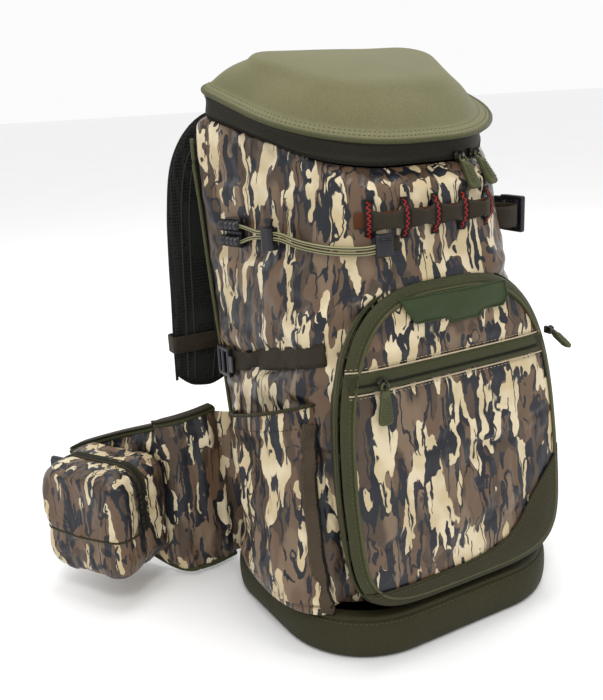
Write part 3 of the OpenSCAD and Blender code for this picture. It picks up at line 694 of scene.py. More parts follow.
def make_bungee():
    axes = turned(-15)
    at = vec(-57, -103.6, 364)
    clip = [block((15, 7.6, 19), at, axes, 2.2),
            block((17, 2.4, 12), at + axes[1] * 2.6, axes, 0.8),
            rod(at + axes[1] * -4 + np.array([[-5.0, 0, 5.5], [5, 0, 5.5]]) @ axes, 0.7, 6),
            rod(at + axes[1] * -4 + np.array([[-5.0, 0, 3.5], [5, 0, 3.5]]) @ axes, 0.7, 6)]
    end = piece("cord_end_clip", clip, "pack", PLASTIC, ["bungee_end_clip"])
    for side, name in ((1, "bungee_upper"), (-1, "bungee_lower")):
        p = bungee_strand(side)
        around = np.linspace(0, 2 * math.pi * 1.8, 13)[:-1]
        length = np.linalg.norm(np.diff(p, axis=0), axis=1)
        v, f, _ = rod(p, 1.8, 12)
        along = np.r_[0, np.cumsum(length)]
        uv = np.stack(np.meshgrid(around, along), -1).reshape(-1, 2) * MM
        o = piece(name, [(v, f, uv)], "pack", BRAID, ["bungee_cord"], subdiv=1)


make_bungee()


# ---------- floor and light ----------

def make_studio():
    size = 40.0
    mesh = bpy.data.meshes.new("floor")
    mesh.from_pydata([(-size, -size, 0), (size, -size, 0), (size, size, 0), (-size, size, 0)],
                     [], [(0, 1, 2, 3)])
    floor = bpy.data.objects.new("floor", mesh)
    bpy.context.scene.collection.objects.link(floor)
    f = Finish("floor", 0.9, specular=0.1)
    f.bump(f.noise(f.object, 300, 2), 0.0001, 0.2)
    mesh.materials.append(f.finish(f.mix(f.noise(f.object, 3, 2), (0.9, 0.9, 0.9),
                                         (0.93, 0.93, 0.93))))
    world = bpy.data.worlds.new("studio")
    world.use_nodes = True
    back = world.node_tree.nodes["Background"]
    back.inputs[0].default_value = (1.0, 1.0, 1.0, 1)
    back.inputs[1].default_value = 0.97
    bpy.context.scene.world = world
    bpy.context.scene.view_settings.view_transform = "Standard"
    for name, at, size, power, tint in (
            ("key", (-0.7, -1.3, 2.3), 0.6, 17, (1, 0.985, 0.96)),
            ("fill", (2.1, 0.3, 1.1), 1.2, 5, (0.96, 0.98, 1)),
            ("top", (0.1, 0.1, 2.3), 0.8, 17, (1, 1, 1)),
            ("rear", (-1.3, 1.6, 1.2), 1.0, 5, (1, 1, 1))):
        lamp = bpy.data.lights.new(name, "AREA")
        lamp.energy, lamp.size, lamp.color = power, size, tint
        o = bpy.data.objects.new(name, lamp)
        o.location = at
        o.rotation_mode = "QUATERNION"
        o.rotation_quaternion = (Vector((0, 0, 0.25)) - Vector(at)).to_track_quat("-Z", "Y")
        bpy.context.scene.collection.objects.link(o)


make_studio()


# ---------- body ----------

NECK_Z, LID_SLOPE, NECK_FRONT, NECK_BACK = 424.5, 0.31, -79, 79
BACK_Y = 83


def lid_plane(y):
    return NECK_Z + LID_SLOPE * (y - NECK_FRONT)


def neck_ring(out, lift, n=160):
    return plan_ring(82 + out, 135 + out, NECK_FRONT - out, NECK_BACK + out, 76 + out,
                     12 + out, lid_plane(NECK_FRONT - out) + lift,
                     lid_plane(NECK_BACK + out) + lift, n)


# Rows of the body: half widths in front and behind, front and back plane, corners, heights.
BODY = np.array([
    [122, 119, -107, 83, 50, 8, 41, 41], [122, 122, -106, 83, 50, 8, 110, 110],
    [120, 128, -103, 83, 50, 8, 190, 190], [116, 132, -101, 83, 53, 8, 254, 254],
    [99, 137, -101, 83, 60, 8, 320, 320], [80, 141, -101, 83, 68, 8, 386, 386],
    [76, 144, -99, 83, 70, 8, 405, 450], [75, 143, -92, 83, 72, 8, 416, 467],
    [82, 135, -79, 79, 76, 12, 424.5, 473.5]], float)


def pchip(x, y, q):
    """Smooth curves through rows y at x, with no overshoot, at q."""
    h = np.diff(x)
    d = np.diff(y, axis=0) / h[:, None]
    m = np.zeros_like(y)
    m[0], m[-1] = d[0], d[-1]
    both = d[:-1] * d[1:]
    m[1:-1] = np.where(both > 0, 2 * both / (d[:-1] + d[1:] + 1e-12), 0)
    i = np.clip(np.searchsorted(x, q, side="right") - 1, 0, len(h) - 1)
    t, hi = ((q - x[i]) / h[i])[:, None], h[i][:, None]
    return ((2 * t ** 3 - 3 * t * t + 1) * y[i] + (t ** 3 - 2 * t * t + t) * hi * m[i]
            + (3 * t * t - 2 * t ** 3) * y[i + 1] + (t ** 3 - t * t) * hi * m[i + 1])


def body_grid(nv, nu):
    key = BODY[:, 6:8].mean(1)
    return np.array([plan_ring(*r, nu) for r in pchip(key, BODY, np.linspace(key[0], key[-1], nv))])


def body_half(y, z):
    """The body's half width at a place y and height z, as the CAD has it."""
    st = BODY[:6]
    hf, hb, yf, rf = (np.interp(z, st[:, 6], st[:, k]) for k in (0, 1, 2, 4))
    a = -math.atan2(hb - hf, BACK_Y - yf)
    cx, cy = hf - rf * (1 + math.sin(a)) / math.cos(a), yf + rf
    if y > cy + rf * math.sin(a):
        return hf + (hb - hf) * (y - yf) / (BACK_Y - yf)
    return cx + math.sqrt(max(rf * rf - (cy - y) ** 2, 0))


def side_z(y):
    return 254 - 0.25 * y


def make_shell():
    P = body_grid(84, 176)
    N = normals(P)
    x, y, z = P[..., 0], P[..., 1], P[..., 2]
    neck = lid_plane(y) - z
    steps = np.linalg.norm(np.diff(np.concatenate([P, P[:, :1]], 1), axis=1), axis=-1)
    arc = np.cumsum(steps, 1) - steps
    left = smooth(-x, 10, 120)
    gather = np.sin(arc / 2.6 + 3.2 * fractal(P, 30, 2))
    near_neck = np.exp(-np.clip(neck, 0, None) / 20) * smooth(neck, 0, 5)
    move = 2.6 * gather * near_neck * (0.35 + 0.65 * left)
    broad = fractal(P * [1, 1, 2.2], 60, 3)
    fine = fractal(P * [1, 1, 1.6] + 200, 24, 2)
    folds = 1 - np.abs(fractal(P * [0.8, 0.8, 2.6] + 90, 75, 2)) * 2.2
    hardware = smooth(z, 345, 360) * (1 - smooth(z, 398, 410)) * (y < 60)
    calm = (1 - 0.75 * hardware) * (1 - smooth(y, 70, 80))
    move += (2.8 * broad + 1.1 * fine + 2.2 * np.clip(folds, 0, 1) ** 2) * calm \
        * smooth(neck, 2, 25) - 0.6
    strap_d = np.abs(z - side_z(y))
    on_side = smooth(np.abs(x), 95, 112)
    move += on_side * (2.4 * np.exp(-((strap_d - 22) / 9) ** 2)
                       - 1.8 * np.exp(-(strap_d / 11) ** 4))
    P = P + N * (move * (1 - smooth(y, 74, 82)) * smooth(z, 41, 55))[..., None]
    pin = np.maximum.reduce([smooth(y, 66, 78), 1 - smooth(neck, 0, 9), 1 - smooth(z, 43, 60),
                             0.75 * hardware, on_side * (1 - smooth(strap_d, 9, 15)) * (y > -85)])
    P = drape(P, True, pin, grow=0.035, pressure=1.2, cap=4.5)
    piece("shell_cloth", [grid(P, True)], "pack", CAMO, ["main_shell"],
          subdiv=1, thick=2, inner=LINING)
    return surface_tree(grid(P, True))


SHELL_TREE = make_shell()


def make_back_piping():
    """Corded seams up the body's back corners."""
    for side, sign in SIDES:
        p = [(sign * (body_half(81, z) + 0.2), 79.5, z) for z in np.linspace(44, 386, 30)]
        p += [(sign * 143.6, 79.3, 425), (sign * 143.5, 79, 452)]
        piece("back_piping_" + side, [rod(evenly(p, 6), 1.7, 8)], "pack", PIPING)


make_back_piping()


def make_neck_zip():
    ring = rejoined(neck_ring(0.6, 1.6, 260))
    outer = ring_normals(neck_ring(0, 0, 260), neck_ring(0, 4, 260))
    tape = np.array([neck_ring(-0.2, 0.2), neck_ring(0.5, 0.8), neck_ring(0.3, 2.6),
                     neck_ring(-3, 2.8)])
    piece("neck_tape", [grid(tape, True), coil(ring, outer_along(ring, outer), 3.2, 1.7, 0.7)],
          "pack", [BAND, DARK_COIL], ["neck_zipper"])


make_neck_zip()


# ---------- base ----------

def base_ring(out, z, n=160):
    return plan_ring(143 + out, 151 + out, -142 - out, 84 + out, 88 + out, 60 + out, z, z, n)


def make_base():
    profile = [(-60, 0.4), (-20, 0.2), (-9, 0), (-5, 1), (-2.4, 3.6), (-0.8, 8), (0.2, 14),
               (0.6, 20), (0.4, 26), (-0.2, 31), (-1.4, 35), (-3.4, 37.6), (-7, 38), (-14, 37.6)]
    P = np.array([base_ring(o, z, 200) for o, z in spline(profile, 2)])
    N = normals(P)
    z = P[..., 2]
    sag = fractal(P * [1, 1, 1.8], 70, 2) * 0.9 + fractal(P + 300, 22, 2) * 0.25
    P = P + N * (sag * smooth(z, 2, 10))[..., None]
    P[..., 2] = np.maximum(P[..., 2], 0)
    floor = base_ring(-60, 0.4, 200)
    plug = np.array([floor * [k, k, 1] for k in (0.001, 0.5, 1)])
    piece("base_shell", [grid(P, True), grid(plug, True)], "pack", BASE_CLOTH,
          ["base_tray"], subdiv=1)
    roll = [(-13, 37.4), (-5.2, 37.2), (-3.6, 39.2), (-4.4, 41.6), (-8, 42.6), (-14, 42.2)]
    R = np.array([base_ring(o, z, 200) for o, z in spline(roll, 3)])
    R = R + normals(R) * fractal(R + 50, 40, 2)[..., None] * 0.5
    piece("base_roll", [grid(R, True)], "pack", GUARD, ["base_board"], subdiv=1)
    edge = base_ring(-1.9, 36.4, 300)
    thread = stitches(rejoined(edge), np.array([0, -0.3, 1]), 3.0, 1.6, 0.3)
    piece("base_stitching", [thread], "pack", OLIVE_THREAD)


make_base()


# ---------- lid ----------

def rim_ring(out, lift, n=200):
    back = 87 + out * 0.4
    return plan_ring(108 + out, 137 + out, -90 - out, back, 108 + out, 24 + out,
                     lid_plane(-90 - out) + 20 + lift, lid_plane(back) + 20 + lift, n)


def top_ring(out, lift, n=200):
    return plan_ring(56 + out, 108 + out, -50 - out, 60 + out, 45 + out, 24 + out,
                     lid_plane(-50 - out) + 20 + lift, lid_plane(60 + out) + 20 + lift, n)


def lid_rings():
    """The dome: a stitched flange, sides that swell a little, and a crowned plateau."""
    rings = [rim_ring(-2.5, 0.8), rim_ring(-0.4, 1.4), rim_ring(0.2, 3), rim_ring(-0.8, 4.8),
             rim_ring(-3.2, 5.8), rim_ring(-7, 6.5), rim_ring(-10.5, 7.2)]
    foot, brow = rim_ring(-12.5, 8.2), top_ring(7.5, 31.5)
    for t in np.linspace(0, 1, 12):
        r = foot + (brow - foot) * t
        r[:, 2] += 3.2 * math.sin(math.pi * t) * (1 - 0.3 * t)
        rings.append(r)
    rings += [top_ring(4, 35.2), top_ring(0, 37.6), top_ring(-6, 38.9)]
    inner = top_ring(-6, 38.9)
    centre = vec(0, 12, 0)
    for k in (0.85, 0.65, 0.45, 0.25, 0.1, 0.03):
        r = centre + (inner - centre) * [k, k, 0]
        r[:, 2] = lid_plane(r[:, 1]) + 20 + 38.9 + 1.3 * (1 - k * k)
        rings.append(r)
    return np.array(rings)


def make_lid():
    P = lid_rings()
    soft = fractal(P, 60, 2) * 0.5
    P = P + normals(P) * (soft * smooth(P[..., 2] - lid_plane(P[..., 1]) - 20, 8, 20))[..., None]
    dome = grid(P, True)
    tree = surface_tree(dome)
    last = dome[0].shape[0] - P.shape[1]
    dome[1].append(list(range(last, last + P.shape[1])))
    piece("lid_dome", [dome], "lid", LID_CLOTH, ["lid_shell"], subdiv=1,
          thick=2.4, inner=LINING)
    lines = []
    for inset, lift in ((-3.6, 6.0), (-9.6, 7.2)):
        path, _ = lay_on(tree, rejoined(rim_ring(inset, lift, 420)), 0.15)
        lines.append(stitches(path, UP, 2.7, 1.5, 0.34))
    piece("lid_stitching", lines, "lid", OLIVE_THREAD)
    for name, out, lift, r, m, node in (("lid_binding", 0.4, 2.9, 2.1, PIPING, ["lid_piping"]),
                                        ("lid_cord", -1.5, 0.2, 1.2, DARK_WEB, [])):
        path = rejoined(rim_ring(out, lift, 260))
        piece(name, [rod(path, r, 10, False)], "lid", m, node)
    rows = [(-1.8, 2.2), (0.8, 2.8), (1.4, 5), (0.6, 9), (0.4, 13), (1.2, 17), (1.4, 20.5)]
    B = np.array([neck_ring(o, h, 200) for o, h in spline(rows, 3)])
    B = B + normals(B) * (fractal(B * [1, 1, 3], 35, 2) * 0.45)[..., None]
    outer = ring_normals(neck_ring(0, 0, 400), neck_ring(0, 4, 400))
    seam = []
    for h in (4.6, 17.4):
        line = rejoined(neck_ring(1.6, h, 400))
        seam.append(stitches(line, outer_along(line, outer, 1.9), 2.4, 1.4, 0.28))
    piece("lid_band_cloth", [grid(B, True)], "lid", BAND, ["lid_band"], thick=1.6)
    piece("lid_band_stitching", seam, "lid", DARK_THREAD)


make_lid()


# ---------- front pocket ----------

PANEL_HALF, PANEL_TOP, PANEL_BOTTOM, PANEL_MID = 119, 330, 50, 150
# The outline's corners: a superellipse's power above and below its middle.
ROUND_HIGH, ROUND_LOW = 3.2, 4.6


def panel_y(z):
    return -108 - (270 - z) * 0.112


def panel_taper(z):
    return 1 - 0.00022 * np.abs(z - 160)


def panel_point(a, inset, r=1.0):
    """The x and z at an angle a, r of the way from the middle to inset mm inside the edge."""
    c, s = np.cos(a), np.sin(a)
    e = np.where(s > 0, 2 / ROUND_HIGH, 2 / ROUND_LOW)
    reach = np.where(s > 0, PANEL_TOP - PANEL_MID, PANEL_MID - PANEL_BOTTOM) - inset
    z = PANEL_MID + r * (rounded(s, e) * reach)
    return r * rounded(c, e) * (PANEL_HALF - inset) * panel_taper(z), z


def panel_ring(inset, dy, n=200):
    x, z = panel_point(np.linspace(0, 2 * math.pi, 721)[:-1], inset)
    ring = resample(np.c_[x, z], n, True)
    return np.c_[ring[:, 0], panel_y(ring[:, 1]) + dy, ring[:, 1]]


def panel_inset(x, z):
    """How far a point is inside the panel's outline, roughly, in millimetres."""
    high = z > PANEL_MID
    e = np.where(high, ROUND_HIGH, ROUND_LOW)
    u = np.abs(x) / (PANEL_HALF * panel_taper(z))
    w = np.abs(z - PANEL_MID) / np.where(high, PANEL_TOP - PANEL_MID, PANEL_MID - PANEL_BOTTOM)
    return (1 - (u ** e + w ** e) ** (1 / e)) * PANEL_HALF


def face_y(x, z, lift=0.0):
    x, z = np.asarray(x, float), np.asarray(z, float)
    depth = np.interp(panel_inset(x, z), [0, 2.5, 5, 12, 22, 38, 55],
                      [7, 9.4, 11, 13.4, 15, 15.8, 16])
    return panel_y(z) - depth - lift


def on_face(x, z, lift=0.0):
    x, z = np.broadcast_arrays(np.asarray(x, float), np.asarray(z, float))
    return np.stack([x, face_y(x, z, lift), z], -1)


GUARD_LINE = np.array([[-125, 74], [-60, 74], [-5, 75], [25, 78.5], [45, 86], [60, 98],
                       [74, 115], [95, 136], [125, 160]], float)
ZIP_X, ZIP_Z, ZIP_LOW, ZIP_HIGH = -4, 258, 249.6, 266.4
RIM = 8.5


def make_panel():
    k = np.linspace(-1, 1, 92)
    u, v = np.meshgrid(k, k)
    r = np.maximum(np.abs(u), np.abs(v))
    x, z = panel_point(np.arctan2(v, u), RIM, r)
    P = on_face(x, z)
    line = np.interp(x, GUARD_LINE[:, 0], GUARD_LINE[:, 1])
    N = -normals(P, False)
    N = np.where(N[..., 1:2] > 0, -N, N)
    zip_d = np.abs(z - ZIP_Z)
    free = np.minimum.reduce([smooth(1 - r, 0, 0.12), smooth(zip_d, 9, 20),
                              smooth(z - line, -4, 14)])
    # Flat behind the badge, and calm where the zip's pull sweeps.
    free = free * np.where((np.abs(x - 2) < 66) & (z > 289), 0.25, 1)
    free = free * (1 - 0.6 * smooth(z, ZIP_Z - 56, ZIP_Z - 44) * smooth(ZIP_Z - z, 0, 4))
    move = (1.5 * fractal(P * [1, 1, 1.7], 48, 3) + 0.5 * fractal(P + 70, 20, 2)) * free
    puff = 1.6 * np.exp(-((zip_d - 20) / 9) ** 2)
    P = P + N * (move + puff * free - 1.2 * (1 - smooth(zip_d, 7, 10)))[..., None]
    P = drape(P, False, 1 - free, grow=0.03, pressure=1.5, cap=3.5)
    face = turned_over(grid(P), face_normal(P, 0, 0)[1] > 0)
    rim_rows = [(3, -1.2), (1, -4.3), (0, -7), (2.4, -9.6), (5, -11.3), (RIM, -12.6),
                (RIM + 3, -12.2)]
    R = np.array([panel_ring(i, d) for i, d in spline(rim_rows, 2)])
    piece("panel_cloth", [face], "front_panel", CAMO_PANEL, ["front_panel"],
          subdiv=1, thick=1.6, inner=LINING)
    piping = panel_ring(RIM + 0.4, -13.4, 260)
    piece("panel_rim", [grid(R, True), rod(rejoined(piping), 1.5, 8, False)],
          "front_panel", [TAPE, PIPING], subdiv=1)
    seam, _ = lay_on(surface_tree(grid(R, True)), panel_ring(5.6, -11.6, 400), 0.1)
    piece("panel_rim_stitching", [stitches(rejoined(seam), FORWARD, 2.6, 1.5, 0.3)],
          "front_panel", OLIVE_THREAD)


make_panel()


def make_panel_zip():
    """The cross zip: a tape with two lips, a coil that shows at its open end, pale piping."""
    x = np.linspace(ZIP_X - 102, ZIP_X + 102, 60)

    def row(z, lift):
        return on_face(x, np.full_like(x, z), lift)

    base = row(ZIP_Z, 0.6)
    upper, lower = row(ZIP_Z + 2.4, 1.7), row(ZIP_Z - 5.2, 1.4)
    lips = [strap(base, UP, 16.4, 1.4), rod(upper, 4.6, 12, True, UP, 0.32),
            rod(lower, 2.6, 12, True, UP, 0.5)]
    ends = [block((9, 2.6, 15), on_face(ZIP_X + s * 98, ZIP_Z, 1.9), None, 1.0) for s in (-1, 1)]
    teeth = coil(row(ZIP_Z - 2.6, 2.2), FORWARD, 3.4, 1.6, 0.6)
    piece("zip_tape", lips + ends + [teeth], "front_panel", [TAPE] * 3 + [GUARD] * 2 + [DARK_COIL],
          ["panel_zip_tape"])
    trim = []
    for z, side in ((ZIP_HIGH + 0.8, 1), (ZIP_LOW - 0.8, -1)):
        edge = np.linspace(ZIP_X - 103, ZIP_X + 103, 70)
        line = on_face(edge, np.full_like(edge, z), 1.1)
        trim.append(rod(line, 0.75, 8))
        trim.append(stitches(on_face(edge, np.full_like(edge, z + 2.6 * side), 0.9), FORWARD,
                             2.6, 1.6, 0.3))
    piece("zip_piping", trim, "front_panel", THREAD)


make_panel_zip()


def make_guard():
    """Tough cloth over the panel's lower edge, with a turned and stitched upper hem."""
    edge = panel_ring(0.4, 0, 720)[:, [0, 2]]
    left = np.argmin(np.abs(edge[:, 1] - 74) + 300 * (edge[:, 0] > 0))
    right = np.argmin(np.abs(edge[:, 1] - 155) + 300 * (edge[:, 0] < 0))
    steps = (right - left) % len(edge)
    outline = resample(edge[(left + np.arange(steps + 1)) % len(edge)], 120)
    hem = resample(GUARD_LINE, 400)
    inside = panel_inset(hem[:, 0], hem[:, 1]) > 0.2
    hem = resample(hem[inside], 120)
    hem[0], hem[-1] = outline[0], outline[-1]
    t = np.linspace(0, 1, 26)[:, None, None]
    flat = outline + (hem - outline) * t
    lift = 1.3 + 0.3 * fractal(np.concatenate([flat, flat[..., :1]], -1), 40, 2)
    P = on_face(flat[..., 0], flat[..., 1], lift)
    lower = [resample(panel_ring(inset, dy, 720)[(left + np.arange(steps + 1)) % 720], 120)
             for inset, dy in ((0.6, -1.6), (-1.2, -4.4))]
    P = np.concatenate([np.array(lower), P], 0)
    part = turned_over(grid(P), face_normal(P, 14, 60)[1] > 0)
    piece("guard", [part], "front_panel", GUARD, ["panel_guard"], subdiv=1,
          thick=0.9)
    line = on_face(hem[3:-3, 0], hem[3:-3, 1], 1.5)
    seam = on_face(hem[3:-3, 0], hem[3:-3, 1] - 3.2, 1.9)
    piece("guard_hem", [rod(line, 0.9, 8), stitches(seam, FORWARD, 2.6, 1.5, 0.3)],
          "front_panel", [GUARD, OLIVE_THREAD])


make_guard()


def make_patch():
    """A plain moulded badge plate with a raised rim, left blank."""
    turn = math.radians(82)
    axes = np.array([[1, 0, 0], [0, math.cos(turn), math.sin(turn)],
                     [0, -math.sin(turn), math.cos(turn)]])
    outline = np.array([[-56, 15], [-42, -8], [-10, -8], [-4, -13], [26, -13], [32, -7], [54, -7],
                        [60, 0], [58, 15]], float)
    at = vec(2, panel_y(306) - 16.4, 306)
    c = outline.mean(0)
    o = resample(outline, 140, True)
    rim = o + unit(c - o) * 1.4
    ridge = np.c_[rim, np.full(len(rim), 0.75)] @ axes + at
    piece("badge",
          [plate(o, 1.4, at, axes, 0.45), rod(rejoined(ridge), 0.55, 6, False)],
          "front_panel", PATCH, ["panel_patch"])


make_patch()


def make_gusset():
    """The pocket's side wall: zip tapes with a heavy coil between, then body cloth."""
    rows = [(24.5, 59), (15, 38), (8, 22), (4, 11), (1.6, 4.6), (0.6, 2.2)]
    G = np.array([panel_ring(i, d) for i, d in spline(rows, 4)])
    G = G + normals(G) * (fractal(G, 30, 2) * 0.5)[..., None]
    tape_rows = [(3.2, 7.5), (1.2, 4.6), (0.0, 1.6), (-0.2, 0.2), (0.6, -0.8)]
    T = np.array([panel_ring(i, d) for i, d in spline(tape_rows, 3)])
    ring = rejoined(panel_ring(-0.9, -0.8, 700))
    out = outer_along(ring, ring_normals(panel_ring(0, 2, 700), panel_ring(0, -2, 700)))
    piping = panel_ring(2.4, 7.0, 260)
    piece("gusset_cloth", [grid(G, True)], "pack", GUARD, ["front_gusset"],
          subdiv=1, thick=1.5)
    piece("main_coil", [grid(T, True), coil(ring, out, 5.2, 1.7, 0.85),
                        rod(rejoined(piping), 1.3, 8, False)],
          "pack", [TAPE, COIL, PIPING], ["panel_zipper"])


make_gusset()

# ---------- side pockets ----------

def pocket_row(zb, zf, out, y0, y1, n=72):
    """The pocket's outline on the left at one height, only where it is outside the body."""
    a = np.linspace(-math.pi, math.pi, 721)[:-1]
    c, s = np.cos(a), np.sin(a)
    t = (rounded(s, 0.8) + 1) / 2
    x = -107 - rounded(c, 0.8) * (51 + out - 5 * t)
    y = (y0 - out) + (y1 - y0 + 2 * out) * t
    z = zf + (zb - zf) * t
    keep = np.array([-x[i] > body_half(y[i], z[i]) - 1.5 and y[i] > -104 for i in range(len(a))])
    ring = np.stack([x, y, z], 1)[keep]
    return resample(ring, n)


POCKET_ROWS = np.array([[42, 42, 0, -108, 60], [90, 90, 1, -102, 62], [150, 150, 0, -90, 62],
                        [186, 230, -2, -78, 60]], float)


def pocket_grid(nv=46, n=72):
    t = np.linspace(0, 1, nv)
    rows = pchip(np.array([0, 0.31, 0.68, 1.0]), POCKET_ROWS, t)
    return np.array([pocket_row(*r, n) for r in rows])


def make_side_pocket(side, sign):
    P = pocket_grid()
    if side == "right":
        P = (P * [-1, 1, 1])[:, ::-1]
    nv, nu = P.shape[:2]
    N = normals(P, False)
    if N[nv // 2, nu // 2, 0] * sign < 0:
        N = -N
    v = np.linspace(0, 1, nv)[:, None] * np.ones(nu)
    u = np.linspace(0, 1, nu)[None] * np.ones((nv, 1))
    free = np.minimum(smooth(v, 0, 0.08), 1 - smooth(v, 0.9, 0.99)) \
        * smooth(u, 0, 0.06) * (1 - smooth(u, 0.94, 1))
    wave = fractal(P * [1, 1, 0.45] + 11, 26, 3)
    gather = np.sin(u * 74 + 2.5 * wave) * np.exp(-((1 - v) / 0.11) ** 2)
    P = P + N * ((2.6 * wave + 1.1 * fractal(P + 400, 60, 2)) * free
                 + 0.7 * gather * smooth(u, 0.02, 0.1))[..., None]
    P = drape(P, False, 1 - free, grow=0.05, pressure=1.6, cap=5.0)
    cloth = turned_over(grid(P), np.dot(face_normal(P, 5, 36), N[5, 36]) < 0)
    piece("pocket_cloth_" + side, [cloth], "pack", CAMO_POCKET,
          ["side_pocket_" + side], subdiv=1, thick=1.5, inner=LINING)
    rim = P[-1] + [0, 0, 0.2]
    hem = P[-4] + N[-4] * 0.5
    piece("pocket_rim_" + side, [rod(evenly(rim, 4), 1.7, 8, True),
                                 stitches(evenly(hem, 3), N[-4, nu // 2], 2.6, 1.5, 0.3)],
          "pack", [GUARD, DARK_THREAD])
    route = np.array([[-126, -106, 44], [-132, -98, 90], [-130, -88, 150], [-124, -79, 200],
                      [-121, -75, 214]], float) * [-sign, 1, 1]
    path, ns = lay_on(surface_tree(cloth), evenly(spline(route, 6), 5), 1.0)
    ns = np.where((ns * [sign, -1, 0]).sum(1)[:, None] < 0, -ns, ns)
    t = unit(np.gradient(path, axis=0))
    across = np.cross(t, ns)
    band = strap(path, across, 13, 1.5)
    cordline = rod(path + across * (6.6 if side == "left" else -6.6), 1.2, 8)
    seams = [stitches(path + across * k + ns * 0.95, ns[len(ns) // 2], 2.6, 1.6, 0.32)
             for k in (-4.9, 4.9)]
    piece("pocket_binding_strip_" + side, [band, cordline] + seams, "pack",
          [BINDING, DARK_WEB] + [OLIVE_THREAD] * 2, ["pocket_binding_" + side])


for side_name, side_sign in SIDES:
    make_side_pocket(side_name, side_sign)


# ---------- webbing ladder, bungee fittings ----------

FRONT_TILT = -math.atan2(61, 184)
FRONT_FLAT = 80 - 68 * (1 + math.sin(FRONT_TILT)) / math.cos(FRONT_TILT)
LADDER_X, LADDER_Z = (-64, -35, -4, 25, 55), 384


def front_at(x, out, shift=0.0):
    """A point on the body's front, level with the ladder, and how far the front has turned."""
    t = 0 if abs(x) < FRONT_FLAT else math.copysign(math.asin((abs(x) - FRONT_FLAT) / 68), x)
    return vec(math.copysign(min(abs(x), FRONT_FLAT), x) + (68 + out) * math.sin(t)
               + shift * math.cos(t), -33 - (68 + out) * math.cos(t) + shift * math.sin(t), 0), t


def make_ladder():
    base = [front_at(x, 1.0)[0] + [0, 0, LADDER_Z] for x in np.linspace(-74, 66, 60)]
    low = []
    for i, x in enumerate(LADDER_X):
        low.append(front_at(x, 3.0)[0])
        if i < 4:
            low.append(front_at(x, 7.4, 8)[0])
            low.append((front_at(x, 9.6, 15)[0] + front_at(LADDER_X[i + 1], 9.6, -15)[0]) / 2)
            low.append(front_at(LADDER_X[i + 1], 7.4, -8)[0])
    path = spline(np.array(low) + [0, 0, LADDER_Z], 5)
    side = np.tile([0.0, 0, 1], (len(path), 1))
    width = 15 + 3.0 * np.cos(np.arange(len(path)) / 20 * 2 * math.pi)
    piece("ladder_web", [strap(path, side, width, 2.6)], "pack", WEB,
          ["daisy_webbing"])
    piece("ladder_base", [strap(np.array(base), UP, 13, 1.2)], "pack", RUST_WEB)
    loops, red = [], []
    # The loops' height over the front, across the ladder.
    hump_h = [-17, -13, -9.6, -6, 0, 6, 9.6, 13, 17]
    hump_o = [0.9, 0.9, 3.4, 5.6, 6.2, 5.6, 3.4, 0.9, 0.9]
    for x in LADDER_X:
        p, t = front_at(x, 0)
        across, out = vec(math.cos(t), math.sin(t), 0), vec(math.sin(t), -math.cos(t), 0)
        line = spline(np.array([p + out * o + [0, 0, LADDER_Z + h]
                                for o, h in zip(hump_o, hump_h)]), 3)
        loops.append(strap(line, across, 7.6, 1.2))
        zig = []
        for k in range(15):
            h = -15 + 30 * k / 14
            o = np.interp(h, hump_h, hump_o) + 0.75
            zig.append(p + out * o + across * (1.7 if k % 2 else -1.7) + [0, 0, LADDER_Z + h])
        red.append(rod(resample(np.array(zig), 90), 0.42, 6))
    piece("ladder_loops", loops, "pack", DARK_WEB, ["daisy_loops"])
    piece("ladder_tacks", red, "pack", RED_THREAD)


make_ladder()


def make_bungee_fittings():
    axes = turned(17)
    at = vec(-131, 33, 368)
    parts = []
    for side in (-1, 1):
        line = at + [0, 0, 7 * side] + np.linspace(-12, 12, 13)[:, None] * axes[1]
        bead = 5.0 + 0.5 * (np.abs(np.linspace(-1, 1, 13)) > 0.8)
        parts.append(rod(line, bead, 24))
        for y in (-6, 0, 6):
            ring = at + [0, 0, 7 * side] + axes[1] * y
            a = np.linspace(0, 2 * math.pi, 33)
            parts.append(rod(ring + 5.1 * (np.cos(a)[:, None] * axes[0]
                                           + np.sin(a)[:, None] * [0, 0, 1]), 0.5, 6, False))
    parts.append(block((3, 21, 27), at + axes[0] * 3.5, axes, 1.0))
    piece("anchor_tubes", parts, "pack", PLASTIC, ["bungee_anchor"])
    tab = strap(np.array([front_at(x, 1.2)[0] + [0, 0, 364] for x in np.linspace(-62, -40, 8)]),
                UP, 12, 1.4)
    piece("clip_tab", [tab], "pack", WEB)


make_bungee_fittings()


# ---------- side webbing and buckles ----------

